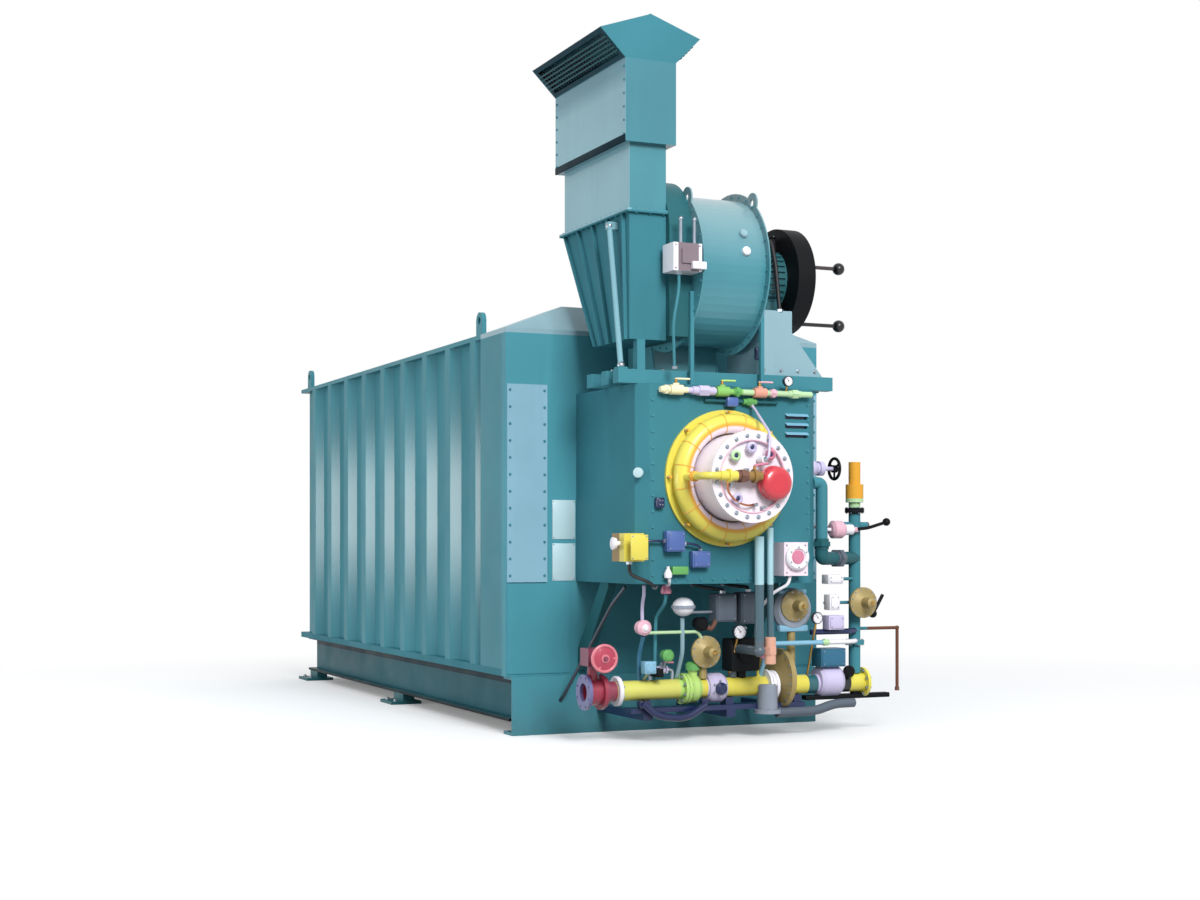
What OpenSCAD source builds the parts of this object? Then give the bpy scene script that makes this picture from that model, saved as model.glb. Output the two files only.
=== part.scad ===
// Packaged watertube boiler on a steel skid, with its forced-draught fan, burner and gas train.
// The frame has X across the front, Y towards the back and Z up.
// Its origin is on the floor, under the middle of the front base beam.

/* [Casing] */
// Width of the casing over the rib crests
casing_w = 3000; // [2800:50:3400]
// Length of the casing from the front wall to the rear rib crests
casing_len = 6700; // [5600:50:8400]
// Height of the casing walls, from the top of its floor to the roof plate
wall_h = 2810; // [2600:10:3100]
// Thickness of an insulated casing wall
wall_t = 90; // [70:5:120]
// Thickness of the roof plate with its lagging
roof_t = 40; // [30:5:60]
// Thickness of the casing floor
floor_t = 60; // [40:5:80]
// Length of the plain front section ahead of the ribs
front_len = 600; // [500:10:800]
// Rise of the hipped cap over the front section
cap_rise = 230; // [150:10:300]
// Slope of the cap's hips from the level
cap_slope = 21; // [18:1:30]

/* [Formed ribs of the walls] */
// Distance wanted from one rib to the next
rib_pitch = 665; // [520:5:900]
// How far a rib stands out of the valley beside it
rib_depth = 80; // [50:5:110]
// Width of a rib at its foot
rib_base = 330; // [260:10:400]
// Width of a rib's flat crest
rib_crest = 130; // [80:10:180]
// Flat strip between the last rib and the rear wall
rib_margin = 235; // [150:5:300]

/* [Roof and rear fittings] */
// Width of a seam across the roof
seam_w = 60; // [40:5:90]
// Height of a seam above the roof plate
seam_h = 16; // [8:1:24]
// Width of a lifting lug
lug_w = 150; // [120:5:180]
// Height of a lug's eye above the roof
lug_h = 130; // [100:5:160]
// Radius of the steam outlet's bore
steam_r = 100; // [75:5:125]
// Height of the steam outlet's flange face above the roof
steam_h = 300; // [240:10:340]
// Width of the flue outlet across the boiler
flue_w = 1000; // [800:20:1200]
// Length of the flue outlet along the boiler
flue_d = 720; // [600:20:900]
// Height of the flue collar
flue_h = 270; // [200:10:340]
// Distance of the flue outlet ahead of the rear
flue_back = 540; // [480:10:700]
// Width of the rear access door
door_w = 640; // [500:10:680]
// Height of the rear access door
door_h = 720; // [600:10:900]

/* [Skid] */
// Height of the skid from the floor to the casing
skid_h = 490; // [440:10:560]
// Height of the foot pads under the rails
pad_h = 100; // [70:5:140]
// Length of a foot pad
pad_len = 380; // [300:10:450]
// Radius of an anchor bolt hole in a foot pad
anchor_r = 14; // [10:1:18]
// Distance from the casing's side to the outer edge of a rail
rail_inset = 90; // [60:5:140]
// Width of a rail's flanges
rail_w = 120; // [90:5:160]
// Thickness of the webs of rails and beams
steel_t = 20; // [12:1:28]
// Depth of the front base beam from front to back
beam_d = 200; // [160:5:260]
// How far the front base beam stands ahead of the front wall
beam_front = 50; // [30:5:80]

/* [Windbox] */
// Width of the windbox
windbox_w = 1630; // [1500:10:1800]
// Depth of the windbox ahead of the front wall
windbox_d = 1250; // [1200:10:1400]
// Height of the windbox
windbox_h = 1580; // [1420:10:1700]
// Height of the windbox's underside above the casing's underside
windbox_lift = 790; // [700:10:850]
// Distance of the windbox's middle left of the centreline
windbox_shift = 45; // [0:5:80]
// Width of the sloped strip on each front corner
corner_w = 90; // [60:5:120]

/* [Burner] */
// Outer radius of the yellow gas ring
ring_r = 510; // [440:10:550]
// Radius of the ring's own round section
ring_tube_r = 78; // [60:2:90]
// Distance of the burner's middle below the windbox's top
burner_drop = 740; // [680:10:780]
// Distance of the burner's middle left of the windbox's middle
burner_shift = 55; // [0:5:80]
// Thickness of the burner's backing plate
plate_t = 25; // [15:1:40]
// How far the burner's drum stands out of its backing plate
burner_depth = 420; // [360:10:460]
// Radius of the gas pipe across the burner
gun_r = 38; // [28:2:50]
// Radius of the red end cap
red_cap_r = 130; // [100:5:150]

/* [Fan] */
// Radius of the scroll where it is narrowest
scroll_r = 565; // [520:5:600]
// Growth of the scroll's radius over one turn
scroll_growth = 110; // [80:5:160]
// Width of the scroll along the shaft
scroll_w = 580; // [500:10:640]
// Height of the fan shaft above the windbox
shaft_lift = 940; // [900:10:1000]
// Gap from the scroll's back to the front wall
fan_gap = 70; // [70:5:120]
// Depth of the throat that leads down into the windbox
throat_d = 430; // [380:10:480]
// Thickness of a side plate
side_t = 12; // [8:1:20]
// How far a side plate stands out past the scroll
rim_w = 60; // [30:5:60]
// Height of the rails under the fan
frame_h = 110; // [80:5:140]
// Width of the inlet box between the duct and the scroll
inlet_box_w = 200; // [160:10:260]
// Half the depth of the inlet box
box_half = 470; // [420:10:500]
// Height of the middle of the inlet box's arch above the shaft
box_arch = 270; // [200:10:300]

/* [Fan motor] */
// Radius of the motor over its fins
motor_r = 275; // [240:5:300]
// Length of the motor's frame
motor_len = 370; // [340:10:420]
// Height of a cooling fin
fin_h = 26; // [14:1:34]
// Number of cooling fins
fin_count = 32; // [20:4:40]
// Radius of the black guard on the motor's end
guard_r = 440; // [400:5:460]
// Depth of the guard
guard_d = 160; // [100:5:180]
// Reach of the two levers past the motor
lever_len = 650; // [560:10:700]
// How far the motor's pedestal stands ahead of the shaft
pedestal_front = 350; // [280:10:370]

/* [Intake duct] */
// Width of the duct across the front
duct_w = 320; // [280:10:360]
// Depth of the duct's tall section from front to back
duct_d = 1300; // [1200:10:1400]
// Depth of the duct at the bottom of its tapered section
duct_foot_d = 650; // [550:10:800]
// Height of the duct's foot above the windbox
duct_lift = 350; // [300:10:380]
// Height of the duct's tapered section
duct_low_h = 1010; // [900:10:1100]
// Height of the duct's straight section
duct_mid_h = 530; // [480:10:700]
// Height of the wider box under the hood
duct_top_h = 650; // [500:10:800]
// How far the upper box stands out past the duct at each side
duct_step = 60; // [40:5:80]
// Width of the flanges round the duct
duct_flange_w = 35; // [25:1:50]

/* [Intake hood] */
// Thickness of the hood's sheet
sheet_t = 12; // [6:1:20]
// How far the hood flares out past the upper box
hood_flare = 215; // [150:5:260]
// Height of the hood's flared part
hood_h = 215; // [150:5:260]
// Rise of the hood's gable above the flares
hood_rise = 150; // [80:5:200]
// Width of the hood's frame round its openings
hood_edge = 60; // [45:5:80]
// Number of bars across each opening
screen_bars = 5; // [3:1:6]
// Width of a bar
bar_w = 12; // [8:1:16]

/* [Gas train] */
// Radius of the main gas pipe
gas_r = 80; // [64:2:90]
// Height of the main gas pipe above the floor
gas_z = 420; // [400:5:440]
// Distance of the gas pipe ahead of the front wall
gas_y = 900; // [850:10:950]
// Thickness of a pipe flange
flange_w = 26; // [18:1:30]
// Height of the inlet valve's shaft above the gas pipe
valve_lift = 280; // [260:5:320]
// Radius of the riser at the right end
riser_r = 50; // [40:2:60]
// Radius of a handwheel's shaft
shaft_r = 18; // [14:1:22]
// Running clearance of a handwheel on its shaft
wheel_gap = 0.3; // [0.2:0.1:0.5]
// Radius of the red handwheel
red_wheel_r = 115; // [90:5:130]
// Radius of the black handwheel
black_wheel_r = 100; // [80:5:120]

/* [Hidden] */

teal = "#46878f";
yellow = "#e1d23c";
black = "#20242a";
red = "#c83240";
white = "#e9e7ee";
grey = "#8f9aa8";
olive = "#a08d5a";

// Gap between a curved face and its seat, and the overlap of two shapes in one solid.
seat = 0.3;
lap = 2;

// Casing
half_w = casing_w / 2;
valley = half_w - rib_depth;
wall_z0 = skid_h + floor_t;
wall_z1 = wall_z0 + wall_h;
roof_z = wall_z1 + roof_t;
rear_valley = casing_len - rib_depth;
rear_in = rear_valley - wall_t;
first_rib = front_len + 40 + rib_base / 2;
rib_span = rear_in - rib_margin - rib_base / 2 - first_rib;
rib_count = max(4, round(rib_span / rib_pitch) + 1);
rib_step = rib_span / (rib_count - 1);
rib_ys = [for (i = [0 : rib_count - 1]) first_rib + i * rib_step];
rear_rib_x = valley - rib_base / 2 - 60;
rear_rib_xs = [rear_rib_x, rear_rib_x / 2, -rear_rib_x / 2, -rear_rib_x];
flue_y = casing_len - flue_back - flue_d / 2;
flue_t = 20;
flue_lip = 60;
middle_rib = floor(rib_count / 2);
steam_y = rib_ys[middle_rib] + rib_step / 2;
relief_y = rib_ys[middle_rib - 2] + rib_step / 2;

// Skid
rail_out = half_w - rail_inset;
rail_in = rail_out - rail_w;
steel_flange_t = steel_t * 1.3;
beam_back = beam_d - beam_front;
pad_ys = [casing_len * 0.48, casing_len - pad_len / 2 - 40];
pad_plate_t = 30;
pad_reach = 130;

// Windbox and burner
wb_x0 = -windbox_w / 2 - windbox_shift;
wb_x1 = wb_x0 + windbox_w;
wb_y = -windbox_d;
wb_z0 = skid_h + windbox_lift;
wb_z1 = wb_z0 + windbox_h;
burner_x = -windbox_shift - burner_shift;
burner_z = wb_z1 - burner_drop;
plate_front = wb_y - plate_t;
plate_r = ring_r + 35;
ring_y = plate_front - ring_tube_r - seat;
core_r = ring_r - 2 * ring_tube_r - 12;
face_y = plate_front - burner_depth;
dish_y = face_y + 30;
cap_d = 115;
cap_back = face_y - 5;
gun_y = cap_back - cap_d / 2;
cap_x = burner_x + core_r * 0.5;
cap_z = burner_z - core_r * 0.15;
top_pipe_y = wb_y - 55;
top_pipe_z = wb_z1 - 52;

// Fan
rail_top = wb_z1 + frame_h;
shaft_z = wb_z1 + shaft_lift;
scroll_end_r = scroll_r + scroll_growth;
shaft_y = -scroll_end_r - fan_gap;
scroll_x1 = 210;
scroll_x0 = scroll_x1 - scroll_w;
plate_x0 = scroll_x0 - side_t;
plate_x1 = scroll_x1 + side_t;
throat_y0 = -fan_gap - throat_d;
cutoff = acos((scroll_end_r - throat_d) / scroll_r);
inlet_y0 = shaft_y - box_half;
motor_x0 = plate_x1 + 25;
motor_x1 = motor_x0 + motor_len;
motor_foot = shaft_z - motor_r - 15;

// Intake duct and hood
duct_y0 = wb_y + 100;
duct_y1 = duct_y0 + duct_d;
duct_x1 = plate_x0 - inlet_box_w;
duct_x0 = duct_x1 - duct_w;
duct_z0 = wb_z1 + duct_lift;
duct_z1 = duct_z0 + duct_low_h;
duct_z2 = duct_z1 + duct_mid_h;
duct_z3 = duct_z2 + duct_top_h;
duct_flange_t = 14;
stiffener_w = 32;
hood_x0 = duct_x0 - duct_step;
hood_x1 = duct_x1 + duct_step;
hood_y0 = duct_y0 - duct_step;
hood_y1 = duct_y1 + duct_step;
hood_eaves = duct_z3 + hood_h;
hood_shape = [
    [hood_x0, duct_z3], [hood_x1, duct_z3], [hood_x1 + hood_flare, hood_eaves],
    [(hood_x0 + hood_x1) / 2, hood_eaves + hood_rise], [hood_x0 - hood_flare, hood_eaves],
];
screen_y0 = hood_y0 + hood_edge;
screen_y1 = hood_y1 - hood_edge;
frame_x0 = duct_x0 - 110;
frame_x1 = wb_x1 + 170;
frame_ys = [wb_y + 120, shaft_y - 165, throat_y0 - rim_w - 60];

// Gas train
gas_line_y = -gas_y;
pipe_flange_r = gas_r + 45;
valve_x = -1110;
valve_half = 80;
valve_top = gas_z + valve_lift;
wheel_y = gas_line_y - 235;
side_wheel_x = wb_x1 + 360;
side_wheel_y = -900;
side_wheel_z = wb_z0 + 950;
riser_x = side_wheel_x + 200;
riser_top = gas_z + 1530;
drain_x = riser_x + 430;
drain_z = gas_z + 455;
pipe_x0 = valve_x + valve_half;
pipe_x1 = riser_x + riser_r + 40;
shelf_x0 = pipe_x0 + 230;
shelf_x1 = riser_x - 530;
shelf_top = gas_z - pipe_flange_r - 15;
shelf_t = 40;
arm_h = 60;

module block(x, y, z) {
    translate([x[0], y[0], z[0]]) cube([x[1] - x[0], y[1] - y[0], z[1] - z[0]]);
}

module both_sides() {
    children();
    mirror([1, 0, 0]) children();
}

// Round bars along an axis. The bracketed pair is where the bar starts and ends.
module rod_x(x, y, z, r) {
    translate([x[0], y, z]) rotate([0, 90, 0]) cylinder(r = r, h = x[1] - x[0], $fn = 48);
}

module rod_y(x, y, z, r) {
    translate([x, y[1], z]) rotate([90, 0, 0]) cylinder(r = r, h = y[1] - y[0], $fn = 48);
}

module rod_z(x, y, z, r) {
    translate([x, y, z[0]]) cylinder(r = r, h = z[1] - z[0], $fn = 48);
}

// A round bar between any two points.
module bar_between(a, b, r) {
    d = b - a;
    flat = norm([d[0], d[1]]);
    translate(a) rotate([0, atan2(flat, d[2]), atan2(d[1], d[0])]) cylinder(r = r, h = norm(d), $fn = 32);
}

// A screwed elbow: the round body where two pipes of one size meet.
module elbow(x, y, z, pipe_r) {
    translate([x, y, z]) sphere(r = pipe_r * 1.3, $fn = 48);
}

// An outline seen from the front, given as [x, z], drawn out from front to back.
module along_y(y0, y1) {
    translate([0, y1, 0]) rotate([90, 0, 0]) linear_extrude(y1 - y0) children();
}

// An outline seen from the side, given as [y, z], drawn out from left to right.
module along_x(x0, x1) {
    translate([x0, 0, 0]) rotate([90, 0, 90]) linear_extrude(x1 - x0) children();
}

// The corners of an outline that runs anticlockwise, moved in by a wall's thickness.
function inset(points, t) = let (n = len(points)) [for (i = [0 : n - 1])
    let (a = points[(i + n - 1) % n], b = points[i], c = points[(i + 1) % n])
    let (u = (b - a) / norm(b - a), v = (c - b) / norm(c - b))
    let (p = [-u[1], u[0]], q = [-v[1], v[0]]) b + t * (p + q) / (1 + p * q)];

module skid_rails() {
    color(teal) both_sides() along_y(beam_back, casing_len) polygon([
        [rail_in, pad_h], [rail_out, pad_h], [rail_out, pad_h + steel_flange_t],
        [rail_in + steel_t, pad_h + steel_flange_t], [rail_in + steel_t, skid_h - steel_flange_t],
        [rail_out, skid_h - steel_flange_t], [rail_out, skid_h], [rail_in, skid_h],
    ]);
}

// Rolled beams across the skid, with flanges above and below a thin web.
module skid_crossmembers() {
    half_flange = 70;
    half_web = steel_t / 2;
    z0 = pad_h + 60;
    z1 = skid_h - 30;
    color(teal) for (i = [1 : 5]) translate([0, casing_len * i / 5 - 150, 0])
        along_x(-rail_in, rail_in) polygon([
            [-half_flange, z0], [half_flange, z0], [half_flange, z0 + steel_flange_t],
            [half_web, z0 + steel_flange_t], [half_web, z1 - steel_flange_t],
            [half_flange, z1 - steel_flange_t], [half_flange, z1], [-half_flange, z1],
            [-half_flange, z1 - steel_flange_t], [-half_web, z1 - steel_flange_t],
            [-half_web, z0 + steel_flange_t], [-half_flange, z0 + steel_flange_t],
        ]);
}

module front_base_beam() {
    web_y = steel_t - beam_front;
    color(teal) along_x(-half_w + 40, half_w - 40) polygon([
        [-beam_front, 0], [beam_back, 0], [beam_back, steel_flange_t], [web_y, steel_flange_t],
        [web_y, skid_h - steel_flange_t], [beam_back, skid_h - steel_flange_t],
        [beam_back, skid_h], [-beam_front, skid_h],
    ]);
}

module foot_pads() {
    color(teal) both_sides() for (y = pad_ys) difference() {
        union() {
            block([rail_in - 60, rail_out + pad_reach], [y - pad_len / 2, y + pad_len / 2], [0, pad_plate_t]);
            block([rail_in, rail_out], [y - pad_len / 2 + 40, y + pad_len / 2 - 40], [0, pad_h]);
        }
        for (s = [-1, 1])
            translate([rail_out + pad_reach - 60, y + s * (pad_len / 2 - 60), -1])
                cylinder(r = anchor_r, h = pad_plate_t + 2, $fn = 48);
    }
}

module casing_floor() {
    color(teal) block([-half_w, half_w], [wall_t, casing_len], [skid_h, wall_z0]);
}

// The four corners of a formed rib in plan: its place along the wall and its height over the valley.
function rib_corners(middle) = let (slope = (rib_base - rib_crest) / 2) [
    [middle - rib_base / 2, 0], [middle - rib_base / 2 + slope, rib_depth],
    [middle + rib_base / 2 - slope, rib_depth], [middle + rib_base / 2, 0],
];

// One side wall in plan: flat valleys with formed ribs between them.
module ribbed_wall() {
    translate([0, 0, wall_z0]) linear_extrude(wall_h) polygon(concat(
        [[valley - wall_t, front_len], [valley, front_len]],
        [for (y = rib_ys) each [for (p = rib_corners(y)) [valley + p[1], p[0]]]],
        [[valley, rear_in], [valley - wall_t, rear_in]]
    ));
}

module side_wall_left() {
    color(teal) mirror([1, 0, 0]) ribbed_wall();
}

module side_wall_right() {
    color(teal) ribbed_wall();
}

module front_side_panels() {
    color(teal) both_sides() block([half_w - wall_t, half_w], [wall_t, front_len], [wall_z0, wall_z1]);
}

module front_wall() {
    color(teal) block([-half_w, half_w], [0, wall_t], [skid_h, wall_z1]);
}

// Cover sheets on the front wall: a tall raised one beside the windbox and a low one under the seam.
module front_panels() {
    color(teal) both_sides() {
        block([half_w - 370, half_w - 10], [-14, 0], [wb_z0 - 5, wb_z1 + 70]);
        block([60 - wb_x0, half_w - 10], [-8, 0], [skid_h + 20, wb_z0 - 20]);
    }
}

module rear_wall() {
    color(teal) translate([0, 0, wall_z0]) linear_extrude(wall_h) polygon(concat(
        [[-valley, rear_in], [valley, rear_in], [valley, rear_valley]],
        [for (x = rear_rib_xs) each [for (p = rib_corners(-x)) [-p[0], rear_valley + p[1]]]],
        [[-valley, rear_valley]]
    ));
}

// A bolted door on the flat between the two middle ribs, with its hinges and its peephole.
module rear_access_door() {
    half = door_w / 2;
    z0 = wall_z0 + 430;
    z1 = z0 + door_h;
    face = rear_valley + 22;
    color(teal) {
        block([-half, half], [rear_valley, face], [z0, z1]);
        block([50 - half, half - 50], [face - lap, face + 24], [z0 + 50, z1 - 50]);
        rod_y(0, [face, face + 50], z0 + door_h * 0.6, 55);
        for (z = [z0 + 110, z1 - 110])
            rod_z(26 - half, face + 12, [z - 50, z + 50], 16);
    }
}

module roof() {
    flue_front = flue_y - flue_d / 2 - flue_t - flue_lip;
    color(teal) {
        block([-half_w, half_w], [front_len, casing_len], [wall_z1, roof_z]);
        for (y = rib_ys) if (y + seam_w < flue_front)
            block([110 - half_w, half_w - 110], [y - seam_w / 2, y + seam_w / 2],
                [roof_z - lap, roof_z + seam_h]);
    }
}

// A hipped cap: what the outline seen from the front and the outline seen from the side share.
module front_roof_cap() {
    hip = cap_rise / tan(cap_slope);
    top = roof_z + cap_rise;
    color(teal) intersection() {
        along_y(0, front_len) polygon([
            [-half_w, wall_z1], [half_w, wall_z1], [half_w, roof_z],
            [half_w - hip, top], [hip - half_w, top], [-half_w, roof_z],
        ]);
        along_x(-half_w, half_w) polygon([
            [0, wall_z1], [front_len, wall_z1], [front_len, top], [cap_rise, top], [0, roof_z],
        ]);
    }
}

module lifting_lugs() {
    color(teal) both_sides() for (y = [front_len + lug_w / 2 + 15, casing_len - 300])
        translate([half_w - 60, y, roof_z]) rotate([90, 0, 90]) linear_extrude(40) difference() {
            union() {
                translate([-lug_w / 2, 0]) square([lug_w, lug_h]);
                translate([0, lug_h]) circle(r = lug_w / 2, $fn = 48);
            }
            translate([0, lug_h]) circle(r = lug_w * 0.22, $fn = 48);
        }
}

// The flanged steam branch, with its bore and bolt holes.
module steam_outlet_nozzle() {
    face_t = 40;
    bolt_circle_r = steam_r + 60;
    color(teal) translate([0, steam_y, roof_z]) difference() {
        union() {
            cylinder(r = steam_r + 15, h = steam_h, $fn = 96);
            cylinder(r = steam_r + 60, h = 20, $fn = 96);
            translate([0, 0, steam_h - face_t]) cylinder(r = steam_r + 90, h = face_t, $fn = 96);
        }
        translate([0, 0, 30]) cylinder(r = steam_r, h = steam_h, $fn = 96);
        for (i = [0 : 11]) rotate([0, 0, i * 30]) translate([bolt_circle_r, 0, steam_h - face_t - 10])
            cylinder(r = 11, h = face_t + 20, $fn = 48);
    }
}

// Two relief valves, each turned about its own axis: branch, flange pair, bonnet and cap.
module safety_valve_nozzles() {
    color(grey) for (s = [-1, 1]) translate([s * 380, relief_y, roof_z]) rotate_extrude($fn = 96) polygon([
        [0, 0], [90, 0], [90, 14], [55, 14], [55, 120], [105, 120], [105, 176], [62, 176],
        [78, 220], [78, 250], [48, 275], [48, 320], [26, 335], [0, 335],
    ]);
}

module flue_collar() {
    half_x = flue_w / 2;
    half_y = flue_d / 2;
    lip = flue_t + flue_lip;
    color(teal) difference() {
        union() {
            block([-half_x - flue_t, half_x + flue_t], [flue_y - half_y - flue_t, flue_y + half_y + flue_t],
                [roof_z, roof_z + flue_h]);
            block([-half_x - lip, half_x + lip], [flue_y - half_y - lip, flue_y + half_y + lip],
                [roof_z + flue_h - 30, roof_z + flue_h]);
        }
        block([-half_x, half_x], [flue_y - half_y, flue_y + half_y], [roof_z + 25, roof_z + flue_h + 10]);
    }
}

// The windbox, with a sloped strip down each front corner and three air slots at its upper right.
module windbox() {
    slot_x1 = wb_x1 - corner_w - 30;
    color(teal) difference() {
        translate([0, 0, wb_z0]) linear_extrude(windbox_h) polygon([
            [wb_x0, 0], [wb_x1, 0], [wb_x1, wb_y + corner_w], [wb_x1 - corner_w, wb_y],
            [wb_x0 + corner_w, wb_y], [wb_x0, wb_y + corner_w],
        ]);
        for (i = [0 : 2])
            block([slot_x1 - 200, slot_x1], [wb_y - 5, wb_y + 45],
                [wb_z1 - 250 - i * 75, wb_z1 - 210 - i * 75]);
    }
}

module windbox_braces() {
    foot = skid_h + 40;
    color(teal) for (x = [wb_x0 + 50, wb_x1 - 50]) along_x(x - 35, x + 35) polygon([
        [0, foot], [-70, foot], [-620, wb_z0 - 40], [-620, wb_z0], [-470, wb_z0], [0, foot + 180],
    ]);
}

module burner_ring() {
    color(yellow) translate([burner_x, ring_y, burner_z]) rotate([90, 0, 0])
        rotate_extrude($fn = 96) translate([ring_r - ring_tube_r, 0]) circle(r = ring_tube_r, $fn = 48);
}

// The burner's front: a backing disc and a drum with a flanged, dished cover and four sight ports.
module burner_front_plate() {
    cover_t = 40;
    color(white) {
        rod_y(burner_x, [plate_front, wb_y], burner_z, plate_r);
        difference() {
            union() {
                rod_y(burner_x, [face_y, plate_front + lap], burner_z, core_r);
                rod_y(burner_x, [face_y, face_y + cover_t], burner_z, core_r + 18);
            }
            rod_y(burner_x, [face_y - 10, dish_y], burner_z, core_r * 0.82);
        }
        translate([burner_x, 0, burner_z]) for (a = [130, 225, 265, 310]) rotate([0, a, 0])
            translate([core_r * 0.66, 0, 0]) rod_y(0, [face_y - 15, dish_y + lap], 0, core_r * 0.1);
    }
}

// The burner's gas pipes: one crosses its front, and two rise from the gas train into the ring.
module burner_gas_pipe() {
    run_z = gas_z + 320;
    color(yellow) {
        rod_y(burner_x - core_r * 0.35, [gun_y, dish_y], burner_z, gun_r + 12);
        rod_x([burner_x - core_r + 20, cap_x - red_cap_r - seat], gun_y, burner_z, gun_r);
        for (x = [burner_x - core_r * 0.75, burner_x - core_r * 0.1])
            rod_x([x, x + 26], gun_y, burner_z, gun_r + 16);
    }
    color(white) for (p = [[burner_x + 250, 38], [burner_x + 350, 26]]) let (x = p[0], r = p[1]) {
        near = x - burner_x - r;
        rod_z(x, gas_line_y, [gas_z + gas_r + seat, run_z], r);
        elbow(x, gas_line_y, run_z, r);
        rod_y(x, [ring_y, gas_line_y], run_z, r);
        elbow(x, ring_y, run_z, r);
        rod_z(x, ring_y, [run_z, burner_z - sqrt(ring_r * ring_r - near * near) - seat], r);
    }
}

// A domed cap that faces the front, on a neck that stands in the drum's dish.
module red_end_cap() {
    rim = red_cap_r * 0.45;
    neck_r = core_r * 0.2;
    color(red) translate([cap_x, cap_back, cap_z]) rotate([90, 0, 0]) rotate_extrude($fn = 96)
        polygon(concat(
            [[0, cap_back - dish_y], [neck_r, cap_back - dish_y], [neck_r, 0]],
            [[red_cap_r, 0], [red_cap_r, cap_d - 45]],
            [for (a = [15 : 15 : 90]) [rim + (red_cap_r - rim) * cos(a), cap_d - 45 + 45 * sin(a)]],
            [[0, cap_d]]
        ));
}

// The pilot gas run along the windbox's top front edge, with its valve bodies and clamps.
module windbox_top_piping() {
    color(yellow) {
        rod_x([wb_x0 + 150, wb_x1 - corner_w - 20], top_pipe_y, top_pipe_z, 24);
        for (x = [wb_x0 + 290, wb_x0 + 700, wb_x0 + 1040]) {
            rod_x([x - 55, x + 55], top_pipe_y, top_pipe_z, 40);
            rod_z(x, top_pipe_y, [top_pipe_z, top_pipe_z + 52], 26);
        }
        for (x = [wb_x0 + 190, wb_x0 + 520, wb_x0 + 1250])
            block([x - 15, x + 15], [top_pipe_y, wb_y], [top_pipe_z - 15, top_pipe_z + 15]);
    }
}

// A yellow box at the windbox's lower left corner and a pale one at its lower right.
module control_boxes() {
    color(yellow) block([wb_x0 - 170, wb_x0], [wb_y - 80, wb_y + corner_w + 60], [wb_z0 + 180, wb_z0 + 400]);
    color(white) block([burner_x + 440, burner_x + 660], [wb_y - 170, wb_y], [wb_z0 + 60, wb_z0 + 330]);
}

// Three rails across the windbox, a stand under the duct, the front legs of the fan, and the
// duct's leaning strut with its foot and its lug.
module fan_base_frame() {
    strut_r = 22;
    strut_x = duct_x0 - stiffener_w - strut_r - 10;
    lug_y = duct_y0 + 240;
    lug_z = duct_z1 - 90;
    leg_t = 32;
    color(teal) {
        for (y = frame_ys)
            block([frame_x0, frame_x1], [y - 50, y + 50], [wb_z1, rail_top]);
        block([duct_x0 + 60, duct_x0 + 130], [frame_ys[0] - 35, frame_ys[0] + 35], [rail_top - lap, duct_z0]);
        for (x = [plate_x0 - leg_t, plate_x1])
            block([x, x + leg_t], [inlet_y0 - 35, inlet_y0], [wb_z1, shaft_z - 200]);
        block([strut_x - 40, strut_x + 40], [frame_ys[0] - 40, frame_ys[0] + 40],
            [rail_top + seat, rail_top + 16]);
        bar_between([strut_x, frame_ys[0], rail_top + 12], [strut_x, lug_y, lug_z], strut_r);
        block([strut_x - strut_r, duct_x0], [lug_y - 28, lug_y + 28], [lug_z - 30, lug_z + 30]);
    }
}

// The scroll seen from the side. Its radius grows evenly with the angle, from the cut-off under the
// shaft, over the front and the top, to the back, where it opens into a throat that runs down.
function scroll_at(a, extra) = let (r = scroll_r + extra + scroll_growth * (a - cutoff) / (360 - cutoff))
    [shaft_y + r * cos(a), shaft_z - r * sin(a)];

module scroll_outline(extra) {
    steps = 48;
    polygon(concat(
        [for (i = [0 : steps]) scroll_at(cutoff + (360 - cutoff) * i / steps, extra)],
        [[extra - fan_gap, wb_z1], [throat_y0 - extra, wb_z1]]
    ));
}

// The fan's housing: its wrap, two side plates that stand out past it, the throat's flange and the
// ears that it is lifted by.
module fan_scroll() {
    ear_y = shaft_y - scroll_r * 0.66;
    ear_z = shaft_z + scroll_r;
    color(teal) {
        along_x(scroll_x0 - lap, scroll_x1 + lap) scroll_outline(0);
        for (x = [plate_x0, scroll_x1]) along_x(x, x + side_t) difference() {
            union() {
                scroll_outline(rim_w);
                translate([ear_y, ear_z]) circle(r = 85, $fn = 48);
            }
            translate([ear_y, ear_z]) circle(r = 28, $fn = 48);
        }
        block([plate_x0 - 40, plate_x1 + 40], [throat_y0 - rim_w, rim_w - fan_gap], [wb_z1, wb_z1 + 20]);
    }
}

// The box that turns the air from the duct into the fan's eye, with an arched top.
module fan_inlet_box() {
    color(teal) along_x(duct_x1, plate_x0) union() {
        translate([inlet_y0, duct_z0 + 30]) square([2 * box_half, shaft_z + box_arch - duct_z0 - 30]);
        translate([shaft_y, shaft_z + box_arch]) circle(r = box_half, $fn = 96);
    }
}

module damper_actuator() {
    color(white) {
        block([duct_x1 - 60, plate_x0 - 10], [inlet_y0 - 190, inlet_y0], [shaft_z - 70, shaft_z + 150]);
        block([duct_x1 + 10, plate_x0 - 60], [inlet_y0 - 205, inlet_y0 - 188], [shaft_z - 10, shaft_z + 100]);
    }
}

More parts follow.
